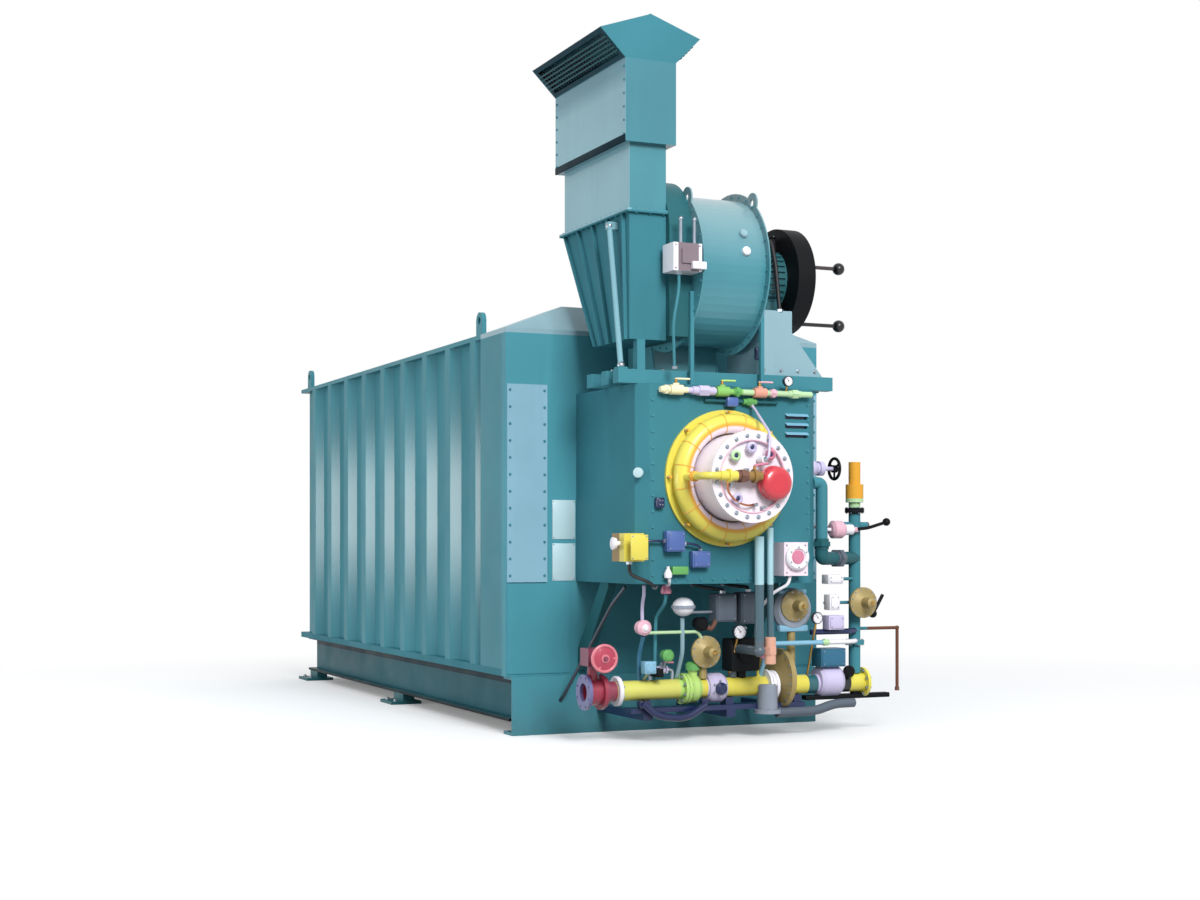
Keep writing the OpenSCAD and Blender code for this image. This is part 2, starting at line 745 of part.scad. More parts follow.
// A motor with lengthwise fins, its terminal box, its feet and the boss that joins it to the scroll.
module fan_motor() {
    barrel_r = motor_r - fin_h;
    color(teal) {
        rod_x([motor_x0 + 30, motor_x1], shaft_y, shaft_z, barrel_r);
        rod_x([motor_x0, motor_x0 + 45], shaft_y, shaft_z, motor_r - 8);
        rod_x([plate_x1, motor_x0 + lap], shaft_y, shaft_z, 60);
        translate([0, shaft_y, shaft_z]) for (i = [0 : fin_count - 1]) rotate([i * 360 / fin_count, 0, 0])
            block([motor_x0 + 60, motor_x1 - 20], [-6, 6], [barrel_r - 12, motor_r - 4]);
        block([motor_x1 - 250, motor_x1 - 30], [shaft_y - 100, shaft_y + 100],
            [shaft_z + barrel_r - 30, shaft_z + motor_r + 80]);
        for (y = [shaft_y - 190, shaft_y + 130])
            block([motor_x0 + 70, motor_x1 - 60], [y, y + 60], [motor_foot, shaft_z - barrel_r * 0.7]);
    }
}

// The black guard on the motor's far end, dished and open to the right.
module motor_end_ring() {
    color(black) translate([motor_x1, shaft_y, shaft_z]) rotate([0, 90, 0]) rotate_extrude($fn = 96) polygon([
        [0, 0], [guard_r, 0], [guard_r, guard_d], [guard_r - 26, guard_d],
        [guard_r - 26, 16], [80, 16], [80, 60], [0, 60],
    ]);
}

// Two levers that stand out of the guard, each with a round weight at its end.
module balance_levers() {
    color(black) for (z = [shaft_z + 150, shaft_z - 340]) {
        rod_x([motor_x1 + 16, motor_x1 + lever_len], shaft_y, z, 16);
        translate([motor_x1 + lever_len, shaft_y, z]) sphere(r = 52, $fn = 48);
    }
}

// The motor's pedestal. Under the guard it widens to the end of the rails.
module motor_pedestal() {
    x0 = motor_x0 + 40;
    x1 = motor_x1 - 15;
    neck_z = shaft_z - guard_r - 25;
    color(teal) along_y(shaft_y - pedestal_front, shaft_y + 200) polygon([
        [x0, rail_top], [frame_x1 - 40, rail_top], [x1, neck_z], [x1, motor_foot], [x0 + 20, motor_foot],
    ]);
}

// A flange round the duct's left, front and back. The right side stays flush for the inlet box.
module duct_flange(z) {
    block([duct_x0 - duct_flange_w, duct_x1], [duct_y0 - duct_flange_w, duct_y1 + duct_flange_w],
        [z, z + duct_flange_t]);
}

// The tapered foot of the duct, with stiffeners that fan out over its left face.
module duct_lower() {
    bar_t = 14;
    color(teal) {
        along_x(duct_x0, duct_x1) polygon([
            [duct_y0, duct_z0], [duct_y0 + duct_foot_d, duct_z0], [duct_y1, duct_z1], [duct_y0, duct_z1],
        ]);
        for (t = [0.07, 0.3, 0.53, 0.76, 0.98]) along_x(duct_x0 - stiffener_w, duct_x0 + lap) polygon([
            [duct_y0 + t * duct_foot_d - bar_t, duct_z0], [duct_y0 + t * duct_foot_d, duct_z0],
            [duct_y0 + t * duct_d, duct_z1], [duct_y0 + t * duct_d - bar_t, duct_z1],
        ]);
        duct_flange(duct_z1 - duct_flange_t);
    }
}

module duct_middle() {
    color(teal) {
        block([duct_x0, duct_x1], [duct_y0, duct_y1], [duct_z1, duct_z2]);
        duct_flange(duct_z1);
    }
}

module duct_upper_box() {
    color(teal) block([hood_x0, hood_x1], [hood_y0, hood_y1], [duct_z2, duct_z3]);
}

// A strip of the left flare, between two distances up its slope and two depths under its sheet.
module flare_strip(from, to, y, depth) {
    up = [-hood_flare, hood_h] / norm([hood_flare, hood_h]);
    out = [-up[1], up[0]];
    foot = hood_shape[0];
    along_y(y[0], y[1]) polygon([
        foot + from * up + depth[0] * out, foot + from * up + depth[1] * out,
        foot + to * up + depth[1] * out, foot + to * up + depth[0] * out,
    ]);
}

module both_flares() {
    children();
    translate([hood_x0 + hood_x1, 0, 0]) mirror([1, 0, 0]) children();
}

// The folded hood: a hollow shell with an air opening in the underside of each flare.
module intake_hood() {
    slope = norm([hood_flare, hood_h]);
    color(teal) difference() {
        along_y(hood_y0, hood_y1) polygon(hood_shape);
        along_y(hood_y0 + sheet_t, hood_y1 - sheet_t) polygon(inset(hood_shape, sheet_t));
        block([hood_x0 + sheet_t, hood_x1 - sheet_t], [hood_y0 + sheet_t, hood_y1 - sheet_t],
            [duct_z3 - 1, duct_z3 + sheet_t + 1]);
        both_flares() flare_strip(hood_edge * 0.7, slope - hood_edge * 0.7, [screen_y0, screen_y1], [-25, 5]);
    }
}

// Bars under each opening of the hood, from one end of its frame to the other.
module intake_screens() {
    slope = norm([hood_flare, hood_h]);
    first = hood_edge * 0.7;
    gap = (slope - 2 * first - bar_w) / (screen_bars + 1);
    color(black) both_flares() for (i = [1 : screen_bars]) let (at = first + i * gap)
        flare_strip(at, at + bar_w, [screen_y0 - 30, screen_y1 + 30], [seat, seat + 10]);
}

// The main gas pipe on its line under the windbox, with its flange pairs and a blind end.
module gas_main_pipe() {
    color(yellow) {
        rod_x([pipe_x0, pipe_x1], gas_line_y, gas_z, gas_r);
        for (x = [pipe_x0, -330, -300, 480, 510, pipe_x1 - flange_w])
            rod_x([x, x + flange_w], gas_line_y, gas_z, pipe_flange_r);
    }
}

// The inlet valve: a flanged body with its bore, a neck, a gearbox and the handwheel's shaft.
module gas_inlet_valve() {
    x0 = valve_x - valve_half;
    x1 = valve_x + valve_half;
    color(red) difference() {
        union() {
            rod_x([x0, x1], gas_line_y, gas_z, gas_r + 25);
            rod_x([x0, x0 + flange_w], gas_line_y, gas_z, gas_r + 62);
            rod_x([x1 - flange_w, x1], gas_line_y, gas_z, gas_r + 62);
            rod_z(valve_x, gas_line_y, [gas_z, valve_top - 60], 40);
            block([valve_x - 70, valve_x + 70], [gas_line_y - 80, gas_line_y + 80],
                [valve_top - 70, valve_top + 70]);
            rod_y(valve_x, [wheel_y - 40, gas_line_y - 80 + lap], valve_top, shaft_r);
        }
        rod_x([x0 - 1, x0 + 60], gas_line_y, gas_z, gas_r - 8);
        translate([0, gas_line_y, gas_z]) for (i = [0 : 7]) rotate([(i + 0.5) * 45, 0, 0])
            rod_x([x0 - 1, x0 + flange_w + 1], 0, gas_r + 43, 9);
    }
}

// A handwheel about its own Z axis: a hub, a round rim, three spokes and a bore that turns freely.
module handwheel(r, hub_r, hub_w) {
    rim_r = 13;
    difference() {
        union() {
            translate([0, 0, -hub_w / 2]) cylinder(r = hub_r, h = hub_w, $fn = 48);
            rotate_extrude($fn = 72) translate([r - rim_r, 0]) circle(r = rim_r, $fn = 24);
            for (a = [0, 120, 240]) rotate([0, 90, a])
                translate([0, 0, hub_r - 8]) cylinder(r = 9, h = r - rim_r - hub_r + 8, $fn = 24);
        }
        translate([0, 0, -hub_w]) cylinder(r = shaft_r + wheel_gap, h = 2 * hub_w, $fn = 48);
    }
}

module gas_valve_wheel() {
    color(red) translate([valve_x, wheel_y, valve_top]) rotate([90, 0, 0]) handwheel(red_wheel_r, 34, 45);
}

module side_valve_wheel() {
    color(black) translate([side_wheel_x, side_wheel_y, side_wheel_z]) rotate([0, 90, 0])
        handwheel(black_wheel_r, 32, 40);
}

// A diaphragm regulator that faces the front: two dished covers and a spring tower.
module regulator(x, y, z) {
    translate([x, y, z]) rotate([90, 0, 0]) rotate_extrude($fn = 96) polygon([
        [0, 0], [55, 0], [60, 40], [100, 60], [130, 70], [130, 94], [100, 104], [48, 126],
        [42, 220], [22, 235], [0, 235],
    ]);
}

// Two regulators on their risers over the gas pipe and one on the front of the right-hand riser.
module gas_regulators() {
    stem_r = 34;
    color(olive) {
        for (p = [[pipe_x0 + 890, gas_z + 300], [riser_x - 640, gas_z + 660]]) {
            regulator(p[0], gas_line_y - 5, p[1]);
            rod_z(p[0], gas_line_y - 30, [gas_z + gas_r + seat, p[1]], stem_r);
        }
        regulator(riser_x, gas_line_y - riser_r - seat, gas_z + 680);
    }
}

// A shelf under the gas pipe, its saddles, and the arms that carry it from the front base beam.
module gas_train_supports() {
    shelf_z0 = shelf_top - shelf_t;
    color(teal) {
        block([shelf_x0, shelf_x1], [gas_line_y - 70, gas_line_y + 70], [shelf_z0, shelf_top]);
        for (x = [shelf_x0 + 150, (shelf_x0 + shelf_x1) / 2 + 100, shelf_x1 - 60]) {
            block([x - 35, x + 35], [gas_line_y - 50, gas_line_y + 50],
                [shelf_top - lap, gas_z - gas_r - seat]);
            block([x - 40, x + 40], [gas_line_y - 70, -beam_front], [shelf_z0 - arm_h, shelf_z0 + lap]);
        }
    }
}

// The riser at the right end of the gas train, with its flanges, its yellow vent and a thin drain.
module right_riser() {
    color(teal) {
        rod_z(riser_x, gas_line_y, [gas_z + gas_r + seat, riser_top], riser_r);
        for (z = [gas_z + 320, riser_top - 90]) rod_z(riser_x, gas_line_y, [z, z + 40], riser_r + 32);
        rod_x([riser_x - 130, riser_x + 130], gas_line_y, riser_top - 200, 32);
        rod_x([riser_x, drain_x], gas_line_y, drain_z, 14);
        elbow(drain_x, gas_line_y, drain_z, 14);
        rod_z(drain_x, gas_line_y, [drain_z - 540, drain_z], 14);
    }
    color(yellow) {
        rod_z(riser_x, gas_line_y, [riser_top - lap, riser_top + 150], riser_r + 25);
        rod_z(riser_x, gas_line_y, [riser_top + 148, riser_top + 340], riser_r);
    }
}

// The valve on the windbox's right side: its flange, round body, bonnet and the handwheel's shaft.
module side_valve() {
    body_r = 74;
    body_at = 120;
    color(grey) translate([wb_x1, side_wheel_y, side_wheel_z]) rotate([0, 90, 0]) rotate_extrude($fn = 96)
        polygon(concat(
            [[0, 0], [92, 0], [92, 24], [48, 24]],
            [for (a = [-45 : 15 : 45]) [body_r * cos(a), body_at + body_r * sin(a)]],
            [[48, 200], [62, 200], [62, 240], [shaft_r, 240]],
            [[shaft_r, side_wheel_x + 30 - wb_x1], [0, side_wheel_x + 30 - wb_x1]]
        ));
}

skid_rails();
skid_crossmembers();
front_base_beam();
foot_pads();
casing_floor();
side_wall_left();
side_wall_right();
front_side_panels();
front_wall();
front_panels();
rear_wall();
rear_access_door();
roof();
front_roof_cap();
lifting_lugs();
steam_outlet_nozzle();
safety_valve_nozzles();
flue_collar();
windbox();
windbox_braces();
burner_ring();
burner_front_plate();
burner_gas_pipe();
red_end_cap();
windbox_top_piping();
control_boxes();
fan_base_frame();
fan_scroll();
fan_inlet_box();
damper_actuator();
fan_motor();
motor_end_ring();
motor_pedestal();
balance_levers();
duct_lower();
duct_middle();
duct_upper_box();
intake_hood();
intake_screens();
gas_main_pipe();
gas_inlet_valve();
gas_valve_wheel();
gas_regulators();
gas_train_supports();
right_riser();
side_valve();
side_valve_wheel();
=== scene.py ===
"""Packaged watertube boiler: paint, bolts, burner fittings, fan and gas train details, light and camera."""
from math import cos, pi, radians, sin

import bmesh
import bpy
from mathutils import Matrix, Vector


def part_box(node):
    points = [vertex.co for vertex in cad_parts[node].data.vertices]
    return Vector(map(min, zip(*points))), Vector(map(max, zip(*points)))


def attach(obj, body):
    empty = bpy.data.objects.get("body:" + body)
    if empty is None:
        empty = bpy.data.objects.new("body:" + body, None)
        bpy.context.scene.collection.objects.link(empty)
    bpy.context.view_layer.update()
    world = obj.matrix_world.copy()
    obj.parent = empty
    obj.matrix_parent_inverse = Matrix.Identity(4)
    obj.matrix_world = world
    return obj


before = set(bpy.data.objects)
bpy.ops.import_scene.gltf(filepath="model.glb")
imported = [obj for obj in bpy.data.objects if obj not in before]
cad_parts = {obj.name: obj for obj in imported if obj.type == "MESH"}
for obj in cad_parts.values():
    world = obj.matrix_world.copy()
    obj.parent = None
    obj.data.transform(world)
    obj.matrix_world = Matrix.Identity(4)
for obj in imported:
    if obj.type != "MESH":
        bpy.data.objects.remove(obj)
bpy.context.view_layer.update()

X_AXIS = Vector((1, 0, 0))
Y_AXIS = Vector((0, 1, 0))
Z_AXIS = Vector((0, 0, 1))
FRONT = Vector((0, -1, 0))


# Colours

TEAL = "44838F"
DARK_TEAL = "2C5F66"
# A darker copy of the teal for the skid rails: painted shade under the casing
SKID_SHADED_TEAL = "2E5E68"
# A lighter copy of the teal for the front wall, its cover sheets and the base beam: painted light
FRONT_LIT_TEAL = "4B909E"
# A darker copy of the teal for the hood and its upper box: painted shade
HOOD_SHADED_TEAL = "3F7C89"
# A dark teal on the hood's flaring sides: painted shade under their overhang
FLARE_SHADED_TEAL = "1B3F4B"
# A paler teal on the duct's left faces: painted light from the left
DUCT_LIT_SIDE = "7CADB9"
YELLOW = "DACC54"
LIME = "B4D876"
AMBER = "E2A53C"
BLACK = "1C1E22"
JET = "0D0F12"
WINE = "8A3A4E"
WHITE = "E9E7EE"
CREAM = "EDE6BE"
LILAC = "C4BCDB"
TAN = "A08D5A"
BROWN = "6E4A3C"
PALE_GREEN = "B4D6A6"


def linear(code):
    """A colour written as six hexadecimal digits, as linear light."""
    values = [int(code[i:i + 2], 16) / 255 for i in (0, 2, 4)]
    return [v / 12.92 if v <= 0.04045 else ((v + 0.055) / 1.055) ** 2.4 for v in values] + [1.0]


def shade(colour, factor):
    return [min(1.0, c * factor) for c in colour[:3]] + [1.0]


# Shader nodes

def fill(tree, node, values):
    """Gives sockets their values: numbers, colours or the outputs of other nodes."""
    for name, value in values.items():
        if isinstance(value, bpy.types.NodeSocket):
            tree.links.new(value, node.inputs[name])
        else:
            node.inputs[name].default_value = value


def added(tree, kind, values, **settings):
    """A new shader node with its settings and its sockets' values."""
    node = tree.nodes.new("ShaderNode" + kind)
    for name, value in settings.items():
        setattr(node, name, value)
    fill(tree, node, values)
    return node


def place(tree):
    """A point of the object, in the frame's own metres."""
    return added(tree, "TexCoord", {}).outputs["Object"]


def position(tree):
    """The three coordinates of a point, by the names of their axes."""
    return added(tree, "SeparateXYZ", {"Vector": place(tree)}).outputs


def noise(tree, scale, detail=3.0, stretch=(1, 1, 1)):
    """Noise in the frame's own metres. A stretch under 1 makes it long in that direction."""
    shape = added(tree, "Mapping", {"Vector": place(tree), "Scale": stretch})
    grain = added(tree, "TexNoise", {"Vector": shape.outputs["Vector"], "Scale": scale, "Detail": detail})
    return grain.outputs["Fac"]


def math_node(tree, operation, first, second=0):
    return added(tree, "Math", {0: first, 1: second}, operation=operation).outputs[0]


def spread(tree, value, low, high, to_low=0.0, to_high=1.0):
    """Maps the part of a value between low and high onto a new range."""
    ends = {"From Min": low, "From Max": high, "To Min": to_low, "To Max": to_high}
    return added(tree, "MapRange", {"Value": value, **ends}).outputs["Result"]


def blended(tree, share, first, second):
    """A mix of two colours."""
    return added(tree, "Mix", {"Factor": share, 6: first, 7: second}, data_type="RGBA").outputs[2]


def valued(tree, colour, value):
    """A colour made darker or lighter, also where it changes over the surface."""
    return added(tree, "HueSaturation", {"Value": value, "Color": colour}).outputs["Color"]


def zoned(tree, colour, zones):
    """Changes a colour inside zones. A zone is a colour code and bounds such as ("Z", low, high, blur)."""
    for code, *bounds in zones:
        inside = 1.0
        for axis, low, high, *soft in bounds:
            blur = soft[0] if soft else 0.0004
            level = position(tree)[axis]
            above = spread(tree, level, low - blur, low + blur)
            below = spread(tree, level, high + blur, high - blur)
            inside = math_node(tree, "MULTIPLY", math_node(tree, "MULTIPLY", above, below), inside)
        colour = blended(tree, inside, colour, linear(code))
    return colour


# Materials

def shader(name):
    """A new material, its node tree and its principled shader."""
    material = bpy.data.materials.new(name)
    material.use_nodes = True
    return material, material.node_tree, material.node_tree.nodes["Principled BSDF"]


def roughened(tree, bsdf, grain, low, high):
    """A roughness that wanders between two values."""
    fill(tree, bsdf, {"Roughness": spread(tree, grain, 0.3, 0.7, low, high)})


def bumped(tree, bsdf, height, strength, distance):
    bump = added(tree, "Bump", {"Height": height, "Strength": strength, "Distance": distance})
    fill(tree, bsdf, {"Normal": bump.outputs["Normal"]})


def paint(name, code, rough=0.36, depth=0.1, dust=0.2, coat=0.3, gloss=0.35, zones=(), dirt=False):
    """Shop paint on steel: broad shifts of tone, faint runs down it, orange peel, dirt near the ground."""
    material, tree, bsdf = shader(name)
    colour = zoned(tree, linear(code), zones)
    tone = spread(tree, noise(tree, 0.9, 4.0), 0.3, 0.7)
    dark, light, bleached = (valued(tree, colour, value) for value in (1 - depth, 1 + depth, 1.4))
    colour = blended(tree, tone, dark, light)
    runs = spread(tree, noise(tree, 5.0, 4.0, (1, 1, 0.12)), 0.54, 0.8, 0.0, dust)
    colour = blended(tree, runs, colour, bleached)
    if dirt:
        low = spread(tree, position(tree)["Z"], 0.5, 0.0, 0.0, 0.5)
        grime = math_node(tree, "MULTIPLY", low, noise(tree, 7.0, 6.0))
        colour = blended(tree, grime, colour, linear("4A4A44"))
    fill(tree, bsdf, {
        "Base Color": colour, "Coat Weight": coat, "Coat Roughness": 0.2, "Specular IOR Level": gloss})
    roughened(tree, bsdf, noise(tree, 3.0), rough - 0.07, rough + 0.09)
    bumped(tree, bsdf, noise(tree, 26.0, 2.0), 0.12, 0.004)
    return material


def metal(name, code, rough=0.32):
    """Bare or plated metal with fine scratches and dull spots."""
    material, tree, bsdf = shader(name)
    base = linear(code)
    spots = spread(tree, noise(tree, 14.0, 5.0), 0.45, 0.75, 0.0, 0.2)
    fill(tree, bsdf, {"Base Color": blended(tree, spots, base, shade(base, 0.45)), "Metallic": 0.9})
    roughened(tree, bsdf, noise(tree, 60.0, 2.0, (1, 1, 0.1)), rough - 0.08, rough + 0.12)
    bumped(tree, bsdf, noise(tree, 180.0, 2.0), 0.1, 0.001)
    return material


def casting(name, code):
    """A painted sand casting: rough grain with worn high spots."""
    material, tree, bsdf = shader(name)
    base = linear(code)
    worn = spread(tree, noise(tree, 9.0, 5.0), 0.5, 0.8, 0.0, 0.5)
    fill(tree, bsdf, {"Base Color": blended(tree, worn, base, shade(base, 0.5)), "Metallic": 0.15})
    roughened(tree, bsdf, noise(tree, 20.0), 0.42, 0.62)
    bumped(tree, bsdf, noise(tree, 90.0, 4.0), 0.35, 0.003)
    return material


def plastic(name, code, rough=0.4):
    """Moulded plastic or rubber with a faint grain."""
    material, tree, bsdf = shader(name)
    base = linear(code)
    fill(tree, bsdf, {"Base Color": blended(tree, noise(tree, 6.0), shade(base, 0.85), shade(base, 1.15))})
    roughened(tree, bsdf, noise(tree, 12.0), rough - 0.05, rough + 0.1)
    bumped(tree, bsdf, noise(tree, 220.0, 1.0), 0.12, 0.0008)
    return material


# Finishes by name: a colour code, and what differs from the usual paint
PAINT_LOOKS = {
    "teal": (TEAL, {"coat": 0.05, "gloss": 0.05, "dirt": True}),
    # The front's lighter teal is painted light
    "front_lit_teal": (FRONT_LIT_TEAL, {"coat": 0.05, "gloss": 0.05, "dirt": True}),
    # Dull paint with a darker teal for the windbox, the lower duct and the casing floor: the darker colour is
    # painted shade
    "dull_shaded_teal": ("3C7884", {"rough": 0.5, "coat": 0.0, "gloss": 0.03, "dirt": True}),
    "pale_teal": ("84A5AF", {"dust": 0.3}),
    "dark_teal": (DARK_TEAL, {"dust": 0.1, "coat": 0.0, "gloss": 0.08}),
    # A dark teal for the strip along the upper box's lower edge: painted shadow
    "shadow_teal": ("0C2630", {"rough": 0.5, "dust": 0.03, "coat": 0.0, "gloss": 0.05}),
    "blue_teal": ("2C6480", {"dust": 0.1, "coat": 0.1}),
    "yellow": (YELLOW, {"dust": 0.08}),
    "lime": (LIME, {"dust": 0.1}),
    "amber": (AMBER, {"dust": 0.08}),
    "red": ("C42C3A", {"dust": 0.05, "coat": 0.8}),
    "wine": ("A8364E", {"dust": 0.05, "coat": 0.5}),
    "coral": ("CC727E", {"dust": 0.1, "coat": 0.5}),
    "black": (JET, {"rough": 0.5, "dust": 0.03, "coat": 0.0, "gloss": 0.12}),
    "navy": ("14224C", {"dust": 0.05}),
    "blue": ("4A64A2", {"dust": 0.08}),
    "sky": ("7FB2CC", {"dust": 0.1}),
    "white": (WHITE, {"depth": 0.04, "dust": 0.03}),
    "cream": (CREAM, {"dust": 0.05}),
    "pink": ("E3B3C2", {"dust": 0.05}),
    "rose": ("C97A93", {"dust": 0.05}),
    "lilac": (LILAC, {"dust": 0.05}),
    "green": ("5FA457", {"dust": 0.05}),
    "pale_green": (PALE_GREEN, {"dust": 0.05}),
    "salmon": ("D09C86", {"dust": 0.05}),
    "plate": ("AFC9CF", {"depth": 0.16, "dust": 0.1}),
    "slate": ("59636F", {"dust": 0.1, "coat": 0.1, "gloss": 0.2}),
}

FINISHES = {
    **{finish: paint(finish + "_paint", code, **look) for finish, (code, look) in PAINT_LOOKS.items()},
    "tan": casting("tan_casting", TAN),
    "brown": casting("brown_casting", BROWN),
    "steel": metal("plated_steel", "9AA3AC"),
    "dark_steel": metal("dark_steel", "4A4F58", 0.42),
    "brass": metal("brass", "B08A4A", 0.3),
    "copper": metal("copper", "B4714A", 0.3),
    "rubber": plastic("black_rubber", "17181B", 0.55),
    "grey": plastic("grey_plastic", "8A93A0"),
}


def by_member(groups):
    """The group of each member, from the members of each group."""
    return {member: group for group, members in groups.items() for member in members}


# Every other finish has the pale metal's slot
SLOTS = by_member({
    "teal_paint": ("teal", "pale_teal", "dark_teal", "shadow_teal", "blue_teal"),
    "yellow_paint": ("yellow", "lime", "amber"),
    "red_paint": ("red", "wine"),
    "black_paint": ("black", "rubber", "navy"),
    "tan_casting": ("tan", "brown"),
    "grey_metal": ("slate", "steel", "dark_steel", "grey"),
    "bronze_valve": ("brass", "copper"),
})


# Mesh tools

TINY = 1e-6
SHARP_FROM = radians(32)


def circle(count, first=0.0):
    """Angles spread evenly round a full turn."""
    return [2 * pi * (i + first) / count for i in range(count)]


def turn_to(axis):
    """The turn that takes Z to an axis."""
    return Vector(axis).normalized().to_track_quat("Z", "Y").to_matrix()


def mirrored(half):
    """A whole profile from the (radius, height) pairs of its upper half, the innermost first."""
    return [(radius, -height) for radius, height in half] + half[::-1]


def rounded(points, bend, steps=5):
    """A line through points, with each inner corner turned into an arc."""
    path = [points[0]]
    for before, corner, after in zip(points, points[1:], points[2:]):
        back, on = before - corner, after - corner
        reach = min(bend, back.length * 0.45, on.length * 0.45)
        first, last = corner + back.normalized() * reach, corner + on.normalized() * reach
        for i in range(steps + 1):
            t = i / steps
            path.append(first * (1 - t) ** 2 + corner * 2 * t * (1 - t) + last * t * t)
    return path + [points[-1]]


class Shape:
    """A mesh put together from bevelled boxes, turned profiles, tubes and bolts, in frame metres."""

    def __init__(self):
        self.bm = bmesh.new()

    def loop(self, points):
        return [self.bm.verts.new(point) for point in points]

    def skin(self, loops, closed=False):
        """Faces between loops of points. A loop of one point is a pole."""
        ends = [(loops[-1], loops[0])] if closed else []
        for one, two in list(zip(loops, loops[1:])) + ends:
            count = max(len(one), len(two))
            for j in range(count):
                k = (j + 1) % count
                corners = one[j % len(one)], one[k % len(one)], two[k % len(two)], two[j % len(two)]
                self.bm.faces.new(tuple(dict.fromkeys(corners)))

    def box(self, low, high, bevel=0.004):
        low, high = Vector(low), Vector(high)
        made = bmesh.ops.create_cube(self.bm, size=1.0)["verts"]
        centre, size = (low + high) / 2, high - low
        for vert in made:
            vert.co = centre + Vector(c * s for c, s in zip(vert.co, size))
        if bevel:
            edges = list({edge for vert in made for edge in vert.link_edges})
            offset = min(bevel, min(size) * 0.3)
            bmesh.ops.bevel(self.bm, geom=edges, offset=offset, segments=2, affect="EDGES", profile=0.5)

    def turned(self, origin, axis, profile, sides=32, closed=True):
        """A profile of (radius, height) pairs turned about an axis. A closed one runs in to the axis."""
        origin, turn = Vector(origin), turn_to(axis)
        first, last = profile[0], profile[-1]
        start = [(0, first[1])] if closed and first[0] > TINY else []
        end = [(0, last[1])] if closed and last[0] > TINY else []
        self.skin([self.loop(
            origin + turn @ Vector((radius * cos(a), radius * sin(a), height))
            for a in circle(sides if radius > TINY else 1)) for radius, height in start + profile + end])

    def rod(self, start, end, radius, sides=20, edge=0.15):
        """A closed round bar with a small rounded edge at each end."""
        start, end = Vector(start), Vector(end)
        length = (end - start).length
        cut = min(radius * edge, length * 0.3)
        self.turned(start, end - start, [
            (radius - cut, 0), (radius, cut), (radius, length - cut), (radius - cut, length)], sides)

    def ball(self, centre, radius, squash=1.0, axis=Z_AXIS, sides=24):
        angles = [2 * pi * i / sides for i in range(sides // 2 + 1)]
        self.turned(centre, axis, [(radius * sin(a), -radius * squash * cos(a)) for a in angles], sides)

    def ring(self, centre, axis, radius, tube, sides=48, around=12):
        """A closed round ring."""
        centre, turn = Vector(centre), turn_to(axis)
        self.skin([self.loop(
            centre + turn @ (Vector((cos(a), sin(a), 0)) * (radius + tube * cos(b)) + Z_AXIS * tube * sin(b))
            for b in circle(around)) for a in circle(sides)], closed=True)

    def tube(self, points, radius, bend=0.04, sides=12):
        """A pipe or conduit through points, with its corners rounded and its ends closed."""
        path = rounded([Vector(p) for p in points], bend)
        side = None
        loops = []
        for i, point in enumerate(path):
            ahead = (path[min(i + 1, len(path) - 1)] - path[max(i - 1, 0)]).normalized()
            side = side or ahead.orthogonal()
            side = (side - ahead * side.dot(ahead)).normalized()
            other = ahead.cross(side)
            loops.append(self.loop(point + radius * (side * cos(a) + other * sin(a)) for a in circle(sides)))
        self.skin(loops)
        self.bm.faces.new(loops[0][::-1])
        self.bm.faces.new(loops[-1])

    def slab(self, points, depth):
        """A flat outline of points carried along a depth."""
        loops = [self.loop(Vector(p) + Vector(depth) * share for p in points) for share in (0, 1)]
        self.skin(loops)
        self.bm.faces.new(loops[0][::-1])
        self.bm.faces.new(loops[1])

    def bolt(self, centre, axis, size):
        """A washer and a hexagon head of the given width, standing on a face."""
        self.turned(centre, axis, [(size * 0.75, 0), (size * 0.75, size * 0.14)], 16)
        self.turned(centre, axis, [(size * 0.55, 0), (size * 0.55, size * 0.5), (size * 0.46, size * 0.6)], 6)

    def bolt_circle(self, centre, axis, radius, count, size):
        for a in circle(count, 0.5):
            self.bolt(
                Vector(centre) + turn_to(axis) @ Vector((radius * cos(a), radius * sin(a), 0)), axis, size)

    def bolt_row(self, start, end, count, axis, size):
        for i in range(count):
            self.bolt(Vector(start).lerp(Vector(end), i / (count - 1)), axis, size)

    def screws(self, low, high, y, inset, head, sides=10):
        """Four round screw heads near the corners of a front face. A head is two radii and a height."""
        base, top, height = head
        for x in (low[0] + inset, high[0] - inset):
            for z in (low[2] + inset, high[2] - inset):
                self.turned((x, y, z), FRONT, [(base, 0), (top, height)], sides)

    def done(self, name, material, slot, body):
        """The finished piece: smooth over gentle angles, on its body."""
        bmesh.ops.recalc_face_normals(self.bm, faces=self.bm.faces)
        for face in self.bm.faces:
            face.smooth = True
        for edge in self.bm.edges:
            edge.smooth = len(edge.link_faces) == 2 and edge.calc_face_angle(0) < SHARP_FROM
        mesh = bpy.data.meshes.new(name)
        self.bm.to_mesh(mesh)
        self.bm.free()
        mesh.materials.append(material)
        piece = bpy.data.objects.new(name, mesh)
        bpy.context.scene.collection.objects.link(piece)
        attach(piece, body)


class Kit:
    """The loose pieces of one area: one mesh for each finish, on one body."""

    def __init__(self, area, body="boiler"):
        self.area, self.body, self.shapes = area, body, {}

    def __getitem__(self, finish):
        if finish not in self.shapes:
            self.shapes[finish] = Shape()
        return self.shapes[finish]

    def done(self):
        for finish, shape in self.shapes.items():
            shape.done(f"{self.area}_{finish}", FINISHES[finish], SLOTS.get(finish, "pale_metal"), self.body)


# Places taken from the solid nodes

def middle(node):
    low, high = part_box(node)
    return (low + high) / 2


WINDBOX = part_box("windbox")
WB_FACE = WINDBOX[0].y
BURNER = middle("burner_ring")
DRUM_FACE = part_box("burner_front_plate")[0].y + 0.015
DRUM_R = 0.342
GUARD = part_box("motor_end_ring")
SHAFT = middle("motor_end_ring")
PIPE = middle("gas_main_pipe")
RISER_X = 1.33


# Finishes of the solid nodes. Every other plain node is teal.

